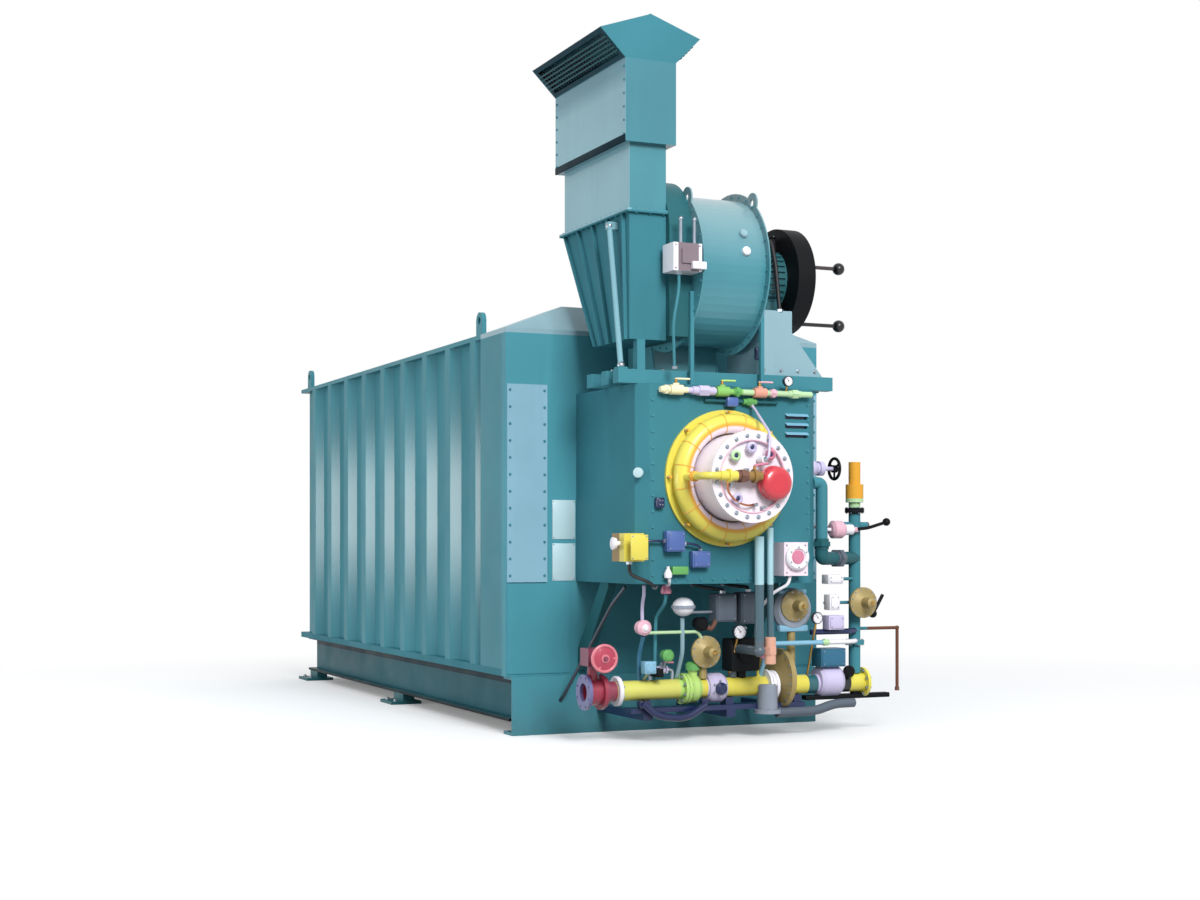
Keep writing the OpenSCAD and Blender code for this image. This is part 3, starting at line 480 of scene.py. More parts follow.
NODE_FINISHES = by_member({
    # The front wall and base beam take the lighter teal: painted light
    "front_lit_teal": ("front_wall", "front_base_beam"),
    # The windbox, lower duct and casing floor take the dull, darker teal: painted shade
    "dull_shaded_teal": ("duct_lower", "windbox", "casing_floor"),
    "pale_teal": ("motor_pedestal", "front_roof_cap"),
    # The fan's inlet box takes the dark teal as painted shade from the duct beside it
    "dark_teal": ("skid_crossmembers", "foot_pads", "windbox_braces", "fan_inlet_box", "intake_screens"),
    "red": ("red_end_cap",),
    "coral": ("gas_valve_wheel",),
    "black": ("motor_end_ring", "side_valve_wheel"),
    "navy": ("gas_train_supports",),
    "lilac": ("side_valve",),
    "tan": ("gas_regulators",),
    "brass": ("safety_valve_nozzles",),
})

# Nodes whose colour changes by zone: the usual colour, and the zones, some of them painted light or shade
ZONED_NODES = {
    # The tall cover sheets are paler from 1.26 m to 3.0 m: painted light
    "front_panels": (FRONT_LIT_TEAL, [("86AEBF", ("Z", 1.26, 3.0))]),
    # Painted shade and shadow on the skid rails: a darker teal, a dark band under the casing floor's edge,
    # and a black band along their foot
    "skid_rails": (SKID_SHADED_TEAL, [("16303A", ("Z", 0.4, 0.6)), ("0F1C20", ("Z", 0.0, 0.125))]),
    "fan_base_frame": (TEAL, [("7BA7B2", ("X", -1.1, -0.9), ("Z", 2.99, 4.3))]),
    "balance_levers": (JET, [("3B3238", ("Z", 3.8, 4.1), ("X", 0.7, 1.2))]),
    # The middle duct's left face is paler: painted light
    "duct_middle": (TEAL, [(DUCT_LIT_SIDE, ("X", -1.0, -0.9005))]),
    # The upper box and the hood take the darker teal: painted shade
    "duct_upper_box": (HOOD_SHADED_TEAL, [
        # Painted light and shadow on the upper box's left face: paler, and darker towards the top under the
        # hood's overhang
        (DUCT_LIT_SIDE, ("X", -1.0, -0.9605)), ("4C8A9C", ("X", -1.0, -0.9605), ("Z", 5.24, 5.6, 0.07))]),
    # Painted shade on both flaring sides of the hood
    "intake_hood": (HOOD_SHADED_TEAL, [
        (FLARE_SHADED_TEAL, ("X", -1.3, -0.966), ("Y", -1.2, 0.2), ("Z", 5.3, 5.615)),
        (FLARE_SHADED_TEAL, ("X", -0.518, -0.2), ("Y", -1.2, 0.2), ("Z", 5.3, 5.615))]),
    "fan_motor": (DARK_TEAL, [(JET, ("Z", 4.02, 4.3), ("X", 0.36, 0.6))]),
    "damper_actuator": (WHITE, [("7A6C74", ("Y", -1.45, -1.4045), ("X", -0.6, -0.42))]),
    "burner_front_plate": ("E4DDE6", [(YELLOW, ("Y", -1.31, 0))]),
    "burner_gas_pipe": (YELLOW, [
        ("9FC6D0", ("Y", -1.5, 0)), ("3F5B66", ("Y", -1.5, 0), ("Z", 0.82, 1.27)),
        ("4C5A64", ("Y", -1.5, 0), ("Z", 0, 0.82)),
        ("D7A08C", ("X", 0.2, 0.4), ("Y", -1.5, 0), ("Z", 0.6, 0.84)),
        ("8A6A34", ("X", -0.27, 0), ("Y", -2, -1.6))]),
    "control_boxes": (YELLOW, [("E6D3DF", ("X", 0, 1)), ("8C6E34", ("X", -1.1, -1.022), ("Y", -1.24, -1))]),
    "windbox_top_piping": (PALE_GREEN, [
        (CREAM, ("X", -0.75, -0.47)), (LILAC, ("X", -0.47, -0.22)), ("84BD62", ("X", -0.22, 0.02)),
        ("DE9C88", ("X", 0.12, 0.24))]),
    "gas_inlet_valve": ("9A3348", [("6A6A98", ("X", -1.2, -1.16)), ("7A3A50", ("Z", 0.6, 0.8))]),
    "gas_main_pipe": ("D8CC50", [
        (WINE, ("X", -1.04, -0.92)), ("CFCD66", ("X", -0.92, -0.36)), (LIME, ("X", -0.36, -0.16)),
        (LILAC, ("X", -0.11, 0.07)), (WHITE, ("X", 0.46, 0.55)), (TAN, ("X", 0.55, 0.7)),
        (DARK_TEAL, ("X", 0.84, 0.93)), (LILAC, ("X", 0.93, 1.18)), (BLACK, ("X", 1.18, 1.25))]),
    "right_riser": (TEAL, [
        (BLACK, ("Z", 1.85, 1.902)), (PALE_GREEN, ("Z", 1.905, 1.98)), (AMBER, ("Z", 1.98, 2.3)),
        (BROWN, ("X", 1.45, 2))]),
}


def zone_paint(node):
    """The paint of a node with zones: flat on teal steel, and under a clear coat on the duct."""
    code, zones = ZONED_NODES[node]
    flat = code in (TEAL, SKID_SHADED_TEAL, FRONT_LIT_TEAL, HOOD_SHADED_TEAL)
    coat = 0.8 if node.startswith("duct") else 0.0 if flat else 0.3
    return paint(node + "_paint", code, coat=coat, gloss=0.04 if flat else 0.35, zones=zones)


def ribbed_paint(node):
    """The casing's paint, dull on the flats and glossy on the ribs' sloping sides, most in a band by height
    that fades along the wall: a painted highlight.
    """
    material = paint(node + "_paint", TEAL, gloss=0.05, dirt=True)
    tree = material.node_tree
    parts = position(tree)
    reach = math_node(tree, "ABSOLUTE", parts["X"])
    slope = math_node(tree, "MULTIPLY", spread(tree, reach, 1.42, 1.425), spread(tree, reach, 1.499, 1.494))
    height = parts["Z"]
    # The coat's gloss rises in a band by height and falls off along the wall, to place the ribs' highlight
    # band: a painted highlight
    highlight_band = math_node(tree, "MULTIPLY", spread(tree, height, 0.6, 1.7), spread(tree, height, 3.3, 2.2))
    highlight_band = math_node(tree, "MULTIPLY", highlight_band, spread(tree, parts["Y"], 2.0, 6.7, 1.0, 0.75))
    coat = math_node(tree, "MULTIPLY", slope, spread(tree, highlight_band, 0, 1, 0.1, 0.75))
    fill(tree, tree.nodes["Principled BSDF"], {"Coat Weight": coat, "Coat IOR": 1.7})
    return material


def repainted(name, recolour, **look):
    """A teal or yellow paint whose colour then passes through a function of its tree and that colour."""
    material = paint(name, **look)
    tree = material.node_tree
    bsdf = tree.nodes["Principled BSDF"]
    painted = bsdf.inputs["Base Color"].links[0].from_socket
    fill(tree, bsdf, {"Base Color": recolour(tree, painted)})
    return material


def scroll_painted_light(tree, painted):
    """Painted light: pale on top where the light falls, and lighter low down, where the fan's casing faces
    the roof, to lift its shade.
    """
    height = position(tree)["Z"]
    # Painted light: the lower casing is lightened towards a paler teal, and its top turns pale grey
    lifted_low = blended(tree, spread(tree, height, 3.7, 3.2, 0.0, 0.5), painted, linear("74C0CC"))
    return blended(tree, spread(tree, height, 3.8, 4.35, 0.0, 0.3), lifted_low, linear("C4CBC9"))


def banded_ring(tree, painted):
    """Yellow outside, an amber line, and pale on the side of the gas ring that faces the drum."""
    parts = position(tree)
    squares = []
    for axis, centre in (("X", BURNER.x), ("Z", BURNER.z)):
        away = math_node(tree, "SUBTRACT", parts[axis], centre)
        squares.append(math_node(tree, "MULTIPLY", away, away))
    radius = math_node(tree, "SQRT", math_node(tree, "ADD", *squares))
    inner = blended(tree, spread(tree, radius, 0.40, 0.415), linear("EBDDE2"), linear(AMBER))
    return blended(tree, spread(tree, radius, 0.425, 0.45), inner, painted)


def node_finish(node):
    if node in ZONED_NODES:
        return zone_paint(node)
    if node in ("side_wall_left", "side_wall_right"):
        return ribbed_paint(node)
    if node == "fan_scroll":
        return repainted("fan_scroll_paint", scroll_painted_light, code=TEAL, coat=0.6, gloss=0.1)
    if node == "burner_ring":
        return repainted("burner_ring_paint", banded_ring, code=YELLOW, dust=0.05)
    return FINISHES[NODE_FINISHES.get(node, "teal")]


def finish_nodes():
    for node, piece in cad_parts.items():
        material = node_finish(node)
        if not piece.data.materials:
            piece.data.materials.append(material)
        for index in range(len(piece.data.materials)):
            piece.data.materials[index] = material


# Fittings that several areas share

def gauge(kit, centre, foot, radius):
    """A pressure gauge with its case, dial, ticks and needle, on a stem from its foot."""
    centre = Vector(centre)
    kit["brass"].rod(foot, centre, radius * 0.18, 12)
    kit["dark_steel"].turned(centre, FRONT, [
        (radius * 0.9, -0.02), (radius, -0.01), (radius, 0.018), (radius * 0.9, 0.024),
        (radius * 0.86, 0.016)], 40)
    kit["white"].turned(centre, FRONT, [(radius * 0.86, 0.0165), (radius * 0.86, 0.018)], 40)
    start = centre + FRONT * 0.019
    for i in range(9):
        a = radians(-45 + 33.75 * i)
        out = Vector((-cos(a), 0, sin(a))) * radius
        kit["black"].rod(start + out * 0.62, start + out * 0.78, radius * 0.03, 6)
    tip = centre + FRONT * 0.0205
    kit["black"].rod(tip + X_AXIS * radius * 0.15, tip + Vector((-0.4, 0, 0.55)) * radius, radius * 0.035, 6)
    kit["brass"].ball(tip, radius * 0.1, sides=12)


def union(kit, finish, centre, axis, radius, length=0.06):
    """A pipe union: a hexagon nut between two round collars."""
    end, nut = length * 0.5, length * 0.225
    for low, high, wide, sides in ((-end, -nut, 0.8, 24), (-nut, nut, 1.08, 6), (nut, end, 0.8, 24)):
        kit[finish].turned(centre, axis, [(radius * wide, low), (radius * wide, high)], sides)


def ball_valve(kit, finish, centre, radius, lever):
    """A ball valve on a level pipe: a round body between two collars, its stem and a flat lever."""
    centre, lever = Vector(centre), Vector(lever)
    kit[finish].ball(centre, radius * 1.25, 1.1, X_AXIS)
    for way in (-X_AXIS, X_AXIS):
        kit[finish].turned(
            centre + way * radius * 1.1, way, [(radius * 1.15, 0), (radius * 1.15, radius * 0.6)], 6)
    top = centre + Z_AXIS * radius * 1.9
    kit["steel"].rod(centre, top, radius * 0.3, 12)
    kit["rose"].tube([top, top + lever * 0.3, top + lever], radius * 0.24, radius)


def conduit(kit, points, radius=0.014, finish="rubber"):
    """A flexible conduit with a gland nut at each end."""
    kit[finish].tube(points, radius, 0.08)
    for end, beside in (points[:2], points[:-3:-1]):
        kit["steel"].turned(end, Vector(beside) - Vector(end), [(radius * 1.9, 0), (radius * 1.9, 0.022)], 6)


def switch_box(kit, finish, low, high):
    """A small switch or relay housing: its box, its proud cover and four cover screws."""
    kit[finish].box(low, high, 0.008)
    inset, front = 0.012, low[1] - 0.008
    kit[finish].box(
        (low[0] + inset, front, low[2] + inset), (high[0] - inset, low[1] + 0.004, high[2] - inset), 0.003)
    kit["steel"].screws(low, high, front, 2 * inset, (0.006, 0.005, 0.004))


# Casing and skid

def front_covers(kit):
    """Bolts of the tall cover sheets, and the two pale plates beside the left one."""
    low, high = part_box("front_panels")
    for side in (-1, 1):
        for x in (high.x - 0.025, high.x - 0.335):
            kit["teal"].bolt_row((x * side, low.y, 1.33), (x * side, low.y, 2.88), 12, FRONT, 0.016)
        pad_anchors(kit, side)
    rear_door(kit)
    for bottom, top in ((1.285, 1.6), (1.635, 1.965)):
        low, high = (-1.08, -0.006, bottom), (-0.872, 0, top)
        kit["plate"].box(low, high, 0.002)
        kit["steel"].screws(low, high, low[1], 0.012, (0.006, 0.004, 0.003))


def pad_anchors(kit, side):
    """Two anchor bolts on each of the two pads along a side."""
    low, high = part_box("foot_pads")
    pad_length, inset, plate = 0.38, 0.06, 0.03
    for start in (low.y, high.y - pad_length):
        for y in (start + inset, start + pad_length - inset):
            kit["steel"].bolt((side * (high.x - inset), y, plate), Z_AXIS, 0.034)


def rear_door(kit):
    low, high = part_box("rear_access_door")
    back = low.y + 0.022
    for z in (low.z + 0.025, high.z - 0.025):
        kit["steel"].bolt_row((low.x + 0.04, back, z), (high.x - 0.04, back, z), 6, Y_AXIS, 0.024)
    for x in (low.x + 0.025, high.x - 0.025):
        kit["steel"].bolt_row((x, back, low.z + 0.13), (x, back, high.z - 0.13), 5, Y_AXIS, 0.024)


# Windbox: cover bolts, louvre blades, the pilot run and the boxes at its lower edge

def windbox_cover(kit):
    low, high = WINDBOX
    for x in (low.x + 0.112, high.x - 0.112):
        kit["teal"].bolt_row((x, WB_FACE, low.z + 0.07), (x, WB_FACE, high.z - 0.13), 12, FRONT, 0.018)
    z = low.z + 0.035
    kit["teal"].bolt_row((low.x + 0.2, WB_FACE, z), (high.x - 0.2, WB_FACE, z), 12, FRONT, 0.018)
    left, right = high.x - 0.325, high.x - 0.115
    blade = ((0.01, 0.012), (-0.03, -0.014), (-0.03, -0.018), (0.01, 0.006))
    for i in range(3):
        z = high.z - 0.21 - 0.075 * i
        kit["sky"].slab([(left, WB_FACE + y, z + rise) for y, rise in blade], (right - left, 0, 0))
        kit["navy"].box((left + 0.01, WB_FACE + 0.02, z - 0.04), (right - 0.01, WB_FACE + 0.04, z), 0)


def pilot_run(kit):
    """Fittings on the pilot gas run along the windbox's top edge, and the small line under it."""
    y, z = WB_FACE - 0.055, WINDBOX[1].z - 0.052
    for finish, x, radius, length in (
            ("cream", -0.66, 0.036, 0.06), ("lilac", -0.33, 0.042, 0.2), ("green", -0.03, 0.04, 0.06),
            ("pink", 0.3, 0.036, 0.06), ("pale_green", 0.5, 0.036, 0.12)):
        union(kit, finish, (x, y, z), X_AXIS, radius, length)
    for x, finish in ((-0.57, "cream"), (-0.16, "lime"), (0.18, "pink")):
        kit["brass"].rod((x, y, z + 0.05), (x, y, z + 0.085), 0.012, 12)
        kit[finish].tube([
            (x - 0.01, y, z + 0.085), (x + 0.03, y, z + 0.088), (x + 0.12, y, z + 0.088)], 0.008, 0.02)
    gauge(kit, (0.42, y - 0.03, z + 0.1), (0.42, y, z), 0.042)
    z = WINDBOX[1].z - 0.125
    line = ((-0.30, -0.02), (0.08, -0.03), (0.14, -0.03), (0.36, -0.02))
    kit["dark_teal"].tube([(x, WB_FACE + out, z) for x, out in line], 0.014)
    kit["blue"].box((-0.12, WB_FACE - 0.075, z - 0.045), (-0.02, WB_FACE, z + 0.03), 0.01)
    union(kit, "green", (0.1, WB_FACE - 0.03, z), X_AXIS, 0.03, 0.12)


def yellow_box(kit):
    """Cover, knob and conduit of the yellow box, and the round plate on the windbox's left side."""
    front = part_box("control_boxes")[0].y - 0.012
    low, high = (-1.018, front, 1.472), (-0.872, front + 0.016, 1.668)
    kit["yellow"].box(low, high, 0.006)
    kit["steel"].screws(low, high, front, 0.013, (0.007, 0.005, 0.004))
    kit["white"].turned((-1.03, -1.24, 1.6), -X_AXIS, [
        (0.02, 0), (0.02, 0.03), (0.045, 0.035), (0.05, 0.06), (0, 0.075)], 24)
    conduit(kit, [(-0.95, -1.25, 1.46), (-0.95, -1.25, 1.36), (-0.8, -1.28, 1.3), (-0.7, -1.2, 1.26)])
    kit["plate"].turned((WINDBOX[0].x + 0.03, -1.2, 2.155), (-0.7, -0.7, 0), [
        (0.02, 0), (0.02, 0.03), (0.04, 0.04), (0.04, 0.06), (0, 0.07)], 24)


def blue_boxes(kit):
    for finish, left, right, depth, low, high in (
            ("navy", -0.735, -0.665, 0.05, 1.88, 1.96), ("blue", -0.66, -0.5, 0.08, 1.535, 1.7),
            ("blue", -0.43, -0.27, 0.07, 1.41, 1.54)):
        switch_box(kit, finish, (left, WB_FACE - depth, low), (right, WB_FACE, high))
    kit["green"].box((-0.6, WB_FACE - 0.06, 1.355), (-0.46, WB_FACE, 1.42), 0.008)
    for line in (
            ((-0.5, 0.04, 1.6), (-0.44, 0.05, 1.6), (-0.36, 0.05, 1.58), (-0.35, 0.04, 1.54)),
            ((-0.66, 0.04, 1.62), (-0.76, 0.05, 1.62), (-0.87, 0.02, 1.62))):
        conduit(kit, [(x, WB_FACE - out, z) for x, out, z in line], 0.01, "navy")


def pale_box(kit):
    """The round face and screws of the pale box, and the white line under it."""
    face, z = -1.42, 1.49
    kit["white"].turned((0.45, face, z), FRONT, [
        (0.102, 0), (0.105, 0.03), (0.09, 0.045), (0.07, 0.045), (0.06, 0.03)], 48)
    kit["rose"].turned((0.45, face - 0.028, z), FRONT, [(0.058, 0), (0.05, 0.014), (0, 0.018)])
    kit["steel"].bolt_circle((0.45, face - 0.045, z), FRONT, 0.08, 6, 0.01)
    kit["steel"].screws((0.34, face, 1.34), (0.56, face, 1.61), face, 0.025, (0.008, 0.006, 0.005), 12)
    kit["white"].tube([
        (0.42, -1.38, 1.34), (0.4, -1.38, 1.27), (0.3, -1.3, 1.2), (0.27, -1.2, 1.1)], 0.013, 0.08)


# Burner

def off_burner(x, y, z=0.0):
    """A point beside the burner's centre line, at a Y of the frame."""
    return Vector((BURNER.x + x, y, BURNER.z + z))


def drum_ports(kit):
    centre = off_burner(0, DRUM_FACE)
    kit["steel"].bolt_circle(centre, FRONT, DRUM_R * 0.93, 20, 0.024)
    kit["pink"].ring(centre, FRONT, DRUM_R * 0.83, 0.007)
    port_r = DRUM_R * 0.66
    for angle, finish in ((130, "lilac"), (225, "pale_green"), (265, "lilac"), (310, "rose")):
        a = radians(angle)
        port = off_burner(port_r * cos(a), DRUM_FACE - 0.015, -port_r * sin(a))
        kit[finish].turned(port, FRONT, [
            (0.044, 0), (0.044, 0.012), (0.032, 0.022), (0.024, 0.022), (0.022, 0.012)])
        kit["navy"].ball(port + FRONT * 0.008, 0.02, 0.5, FRONT)


def ring_bands(kit):
    """Amber bands round the gas ring, and the lugs that hold it to the windbox."""
    for a in circle(16, 0.5):
        centre = off_burner(0.432 * cos(a), BURNER.y, 0.432 * sin(a))
        kit["amber"].ring(centre, (-sin(a), 0, cos(a)), 0.079, 0.004, 36, 6)
    for a in circle(8):
        lug = off_burner(0.525 * cos(a), -1.275, 0.525 * sin(a))
        kit["amber"].rod(lug, lug + FRONT * 0.06, 0.011, 12)
        kit["steel"].bolt(lug + FRONT * 0.002, FRONT, 0.02)


def gas_gun(kit):
    """The yellow feed across the drum, its unions and lever, the scanner and the copper line."""
    y, left = -1.7575, -0.44
    kit["yellow"].tube([
        off_burner(0.03 - DRUM_R, y), off_burner(left, y), off_burner(left, -1.62), off_burner(left, -1.42)],
        0.03, 0.07)
    union(kit, "amber", off_burner(left, -1.56), FRONT, 0.042)
    union(kit, "brown", off_burner(-0.13, y), X_AXIS, 0.052, 0.09)
    kit["brass"].rod(off_burner(-0.02, y), off_burner(-0.02, y, 0.08), 0.012, 12)
    kit["rose"].tube([
        off_burner(-0.02, y, 0.08), off_burner(0.02, y, 0.09), off_burner(0.1, y, 0.1)], 0.01, 0.02)
    scanner = off_burner(0.07, DRUM_FACE + 0.02, 0.13)
    kit["white"].rod(scanner, scanner + FRONT * 0.09, 0.028)
    conduit(kit, [
        scanner + FRONT * 0.09, scanner + Vector((0.02, -0.11, 0.02)), scanner + Vector((0.06, -0.07, 0.2)),
        (BURNER.x + 0.22, WB_FACE - 0.1, 2.66), (BURNER.x + 0.22, WB_FACE - 0.02, 2.72)], 0.011, "lilac")
    kit["copper"].tube([
        off_burner(-0.25, y, -0.03), off_burner(-0.25, y + 0.01, -0.12),
        off_burner(-0.16, DRUM_FACE - 0.03, -0.2),
        off_burner(-0.05, DRUM_FACE - 0.02, -0.23), off_burner(0.05, DRUM_FACE + 0.02, -0.21)], 0.008, 0.05)


def drum_studs(kit):
    """Hexagon plugs on the drum's face, and the bolts and rim of the red end cap."""
    for x, z in ((0.02, -0.22), (0.09, -0.24), (-0.06, 0.05), (-0.2, -0.07)):
        kit["steel"].rod(off_burner(x, DRUM_FACE + 0.03, z), off_burner(x, DRUM_FACE - 0.03, z), 0.014, 6)
    cap = middle("red_end_cap")
    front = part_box("red_end_cap")[0].y
    kit["steel"].bolt_circle((cap.x, front + 0.045, cap.z), FRONT, 0.114, 10, 0.014)
    kit["red"].ring((cap.x, front + 0.09, cap.z), FRONT, 0.13, 0.008)


# Fan, motor and actuator

def scroll_point(angle, beyond):
    """Y and Z on the scroll's spiral, at a distance beyond its wrap."""
    cut_off, least, growth = 64.3, 0.565, 0.110
    radius = least + beyond + growth * (angle - cut_off) / (360 - cut_off)
    return SHAFT.y + radius * cos(radians(angle)), SHAFT.z - radius * sin(radians(angle))


def scroll_bolts(kit):
    """Bolts through the scroll's side plates, and two plugs on its wrap."""
    plate = 0.012
    for x, way in ((-0.382, -1), (0.222, 1)):
        for angle in range(80, 355, 11):
            y, z = scroll_point(angle, 0.03)
            kit["teal"].bolt((x - way * plate, y, z), (-way, 0, 0), 0.014)
            kit["teal"].bolt((x, y, z), (way, 0, 0), 0.014)
    for angle, finish in ((206, "pale_teal"), (192, "white")):
        a = radians(angle)
        kit[finish].turned((0.03, *scroll_point(angle, 0.006)), (0, cos(a), -sin(a)), [
            (0.036, -0.01), (0.036, 0.018), (0.026, 0.028)], 24)


def actuator_details(kit):
    low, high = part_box("damper_actuator")
    kit["steel"].screws(low, high, low.y + 0.017, 0.02, (0.009, 0.007, 0.006), 12)
    kit["white"].box(
        (high.x - 0.1, low.y - 0.03, low.z + 0.015), (high.x + 0.02, low.y + 0.02, low.z + 0.075), 0.006)
    for x in (high.x - 0.15, high.x - 0.03):
        top = Vector((x, low.y + 0.09, high.z + 0.2))
        kit["grey"].rod((x, low.y + 0.09, high.z), top, 0.012, 12)
        kit["steel"].ball(top, 0.02, sides=16)
    conduit(kit, [
        (low.x + 0.08, low.y + 0.08, low.z), (low.x + 0.08, low.y + 0.08, low.z - 0.14),
        (low.x + 0.02, low.y + 0.06, low.z - 0.4), (low.x + 0.05, low.y + 0.1, 2.97)], 0.012, "teal")


def guard_grille(kit):
    """The guard's wire rings and spokes."""
    hub = Vector((GUARD[1].x - 0.012, SHAFT.y, SHAFT.z))
    for i in range(7):
        kit["black"].ring(hub, X_AXIS, 0.1 + 0.048 * i, 0.004, 48, 6)
    for a in circle(8):
        out = Vector((0, cos(a), sin(a)))
        kit["black"].rod(hub + out * 0.04, hub + out * 0.42, 0.006, 8)


def motor_details(kit):
    """Bolts, terminal box, conduit and eye of the motor, and the bolts of its feet."""
    left, right = 0.247, GUARD[0].x
    kit["steel"].bolt_circle((left + 0.045, SHAFT.y, SHAFT.z), X_AXIS, 0.258, 8, 0.02)
    x, y, lid = right - 0.25, SHAFT.y - 0.1, SHAFT.z + 0.362
    kit["black"].box((x - 0.01, y - 0.01, lid - 0.017), (x + 0.23, y + 0.21, lid), 0.006)
    for bolt_x in (x + 0.01, x + 0.21):
        for bolt_y in (y + 0.01, y + 0.19):
            kit["steel"].bolt((bolt_x, bolt_y, lid), Z_AXIS, 0.014)
    exit_x, exit_z = right - 0.14, SHAFT.z + 0.3
    conduit(kit, [
        (exit_x, y, exit_z), (exit_x, y - 0.12, exit_z), (exit_x, y - 0.2, SHAFT.z + 0.1),
        (right - 0.12, SHAFT.y - 0.33, SHAFT.z - 0.3)], 0.018)
    kit["steel"].ring((left + 0.07, SHAFT.y, SHAFT.z + 0.3), X_AXIS, 0.032, 0.009, 28, 10)
    for bolt_x in (left + 0.09, right - 0.08):
        for bolt_y in (SHAFT.y - 0.17, SHAFT.y + 0.17):
            kit["steel"].bolt((bolt_x, bolt_y, 3.53), Z_AXIS, 0.022)


def pedestal_details(kit):
    """Bolts of the motor's pedestal and of the fan's base frame, and two small switches."""
    low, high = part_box("motor_pedestal")
    kit["steel"].bolt_row((low.x + 0.05, low.y, 3.02), (high.x - 0.08, low.y, 3.02), 4, FRONT, 0.022)
    for left, bottom, top in ((-0.03, 3.1, 3.2), (-0.02, 3.34, 3.42)):
        kit["navy"].box((low.x + left, low.y - 0.02, bottom), (low.x + left + 0.05, low.y + 0.02, top), 0.006)
    for y in (-1.13, -0.91):
        kit["steel"].bolt_row((-0.94, y, 2.97), (-0.6, y, 2.97), 3, Z_AXIS, 0.024)


# Intake duct and hood

def duct_flanges(kit):
    """Bolts above and below the flange between the lower duct and the middle one."""
    low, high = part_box("duct_middle")
    edge = low.x + 0.017
    for level, way in ((low.z + 0.014, Z_AXIS), (low.z - 0.014, -Z_AXIS)):
        kit["teal"].bolt_row((edge, low.y + 0.05, level), (edge, high.y - 0.05, level), 14, way, 0.016)
        for y in (low.y + 0.017, high.y - 0.017):
            kit["teal"].bolt_row((edge + 0.07, y, level), (high.x - 0.03, y, level), 3, way, 0.016)


def hood_details(kit):
    """Bolts of the upper box and the dark strip of painted shadow along its lower edge, the hood's wire
    screens and ridge, the strut's ends.
    """
    low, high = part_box("duct_upper_box")
    for y in (low.y + 0.03, high.y - 0.03):
        kit["teal"].bolt_row((low.x, y, low.z + 0.06), (low.x, y, high.z - 0.06), 6, -X_AXIS, 0.014)
    # A dark strip along the upper box's lower edge: painted shadow
    kit["shadow_teal"].box(
        (low.x - 0.004, low.y + 0.002, low.z - 0.002), (low.x + 0.01, high.y, low.z + 0.055), 0.001)
    flare, inner, wires = 0.215, 0.042, 25
    foot, top = high.z + inner - 0.004, high.z + flare - inner - 0.004
    for way, root in ((-1, low.x), (1, high.x)):
        for i in range(wires):
            y = low.y + 0.08 + i * (high.y - low.y - 0.16) / (wires - 1)
            kit["dark_steel"].rod(
                (root + way * inner, y, foot), (root + way * (flare - inner), y, top), 0.0025, 6)
    hood_low, hood_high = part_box("intake_hood")
    x, z = (low.x + high.x) / 2, hood_high.z - 0.004
    kit["teal"].rod((x, hood_low.y + 0.01, z), (x, hood_high.y - 0.01, z), 0.01, 12)
    for y, z in ((-1.13, 3.0), (-0.91, 4.13)):
        kit["steel"].ball((-0.966, y, z), 0.032, sides=16)


# Gas train

def pipe_flanges(kit):
    for x, way in ((-0.33, -1), (-0.274, 1), (0.48, -1), (0.536, 1), (1.394, -1), (1.42, 1)):
        kit["steel"].bolt_circle((x, PIPE.y, PIPE.z), X_AXIS * way, 0.104, 8, 0.022)


def left_valves(kit):
    """The lime valve, the lilac one and the black actuator on the main gas pipe."""
    y, z = PIPE.y, PIPE.z
    kit["lime"].turned((-0.225, y, z), X_AXIS, mirrored([(0.1, 0.045), (0.118, 0.02)]), 40)
    kit["lime"].rod((-0.225, y, z), (-0.225, y - 0.02, z + 0.17), 0.04)
    kit["green"].turned((-0.225, y - 0.02, z + 0.15), Z_AXIS, [(0.06, 0), (0.06, 0.05), (0.04, 0.07)])
    kit["lilac"].turned((-0.02, y, z), X_AXIS, mirrored([(0.1, 0.08), (0.12, 0.05)]), 40)
    kit["navy"].turned((-0.02, y - 0.118, z), FRONT, [(0.05, 0), (0.05, 0.02), (0.03, 0.035)])
    kit["steel"].bolt_circle((-0.02, y - 0.118, z), FRONT, 0.062, 6, 0.014)
    kit["black"].box((0.09, y - 0.1, z + 0.13), (0.36, y + 0.08, z + 0.4), 0.02)
    kit["black"].turned((0.225, y - 0.1, z + 0.28), FRONT, [(0.075, 0), (0.075, 0.02), (0.06, 0.03)], 40)
    kit["black"].rod((0.225, y, z + 0.07), (0.225, y, z + 0.15), 0.045)


def right_valves(kit):
    """The tan diaphragm housing, the white collar, the right lilac valve and the rose head."""
    y, z = PIPE.y, PIPE.z
    kit["tan"].turned((0.6, y, z + 0.06), X_AXIS, mirrored([(0.12, 0.06), (0.2, 0.03), (0.245, 0.022)]), 56)
    for x, way in ((0.578, -X_AXIS), (0.622, X_AXIS)):
        kit["steel"].bolt_circle((x, y, z + 0.06), way, 0.225, 18, 0.016)
    kit["white"].turned((0.508, y, z), -X_AXIS, [(0.12, 0.03), (0.135, 0.04), (0.135, 0.06)], 40)
    kit["lilac"].turned((1.06, y, z + 0.02), X_AXIS, mirrored([(0.11, 0.11), (0.13, 0.08)]), 40)
    kit["black"].turned((1.215, y - 0.08, z + 0.1), FRONT, [(0.05, 0), (0.05, 0.03), (0.035, 0.045)])
    kit["rose"].turned((0.40, y - 0.06, z + 0.28), FRONT, [(0.05, -0.05), (0.055, 0.03), (0.035, 0.05)])
    kit["yellow"].rod((0.40, y, z + 0.07), (0.40, y, z + 0.27), 0.022)


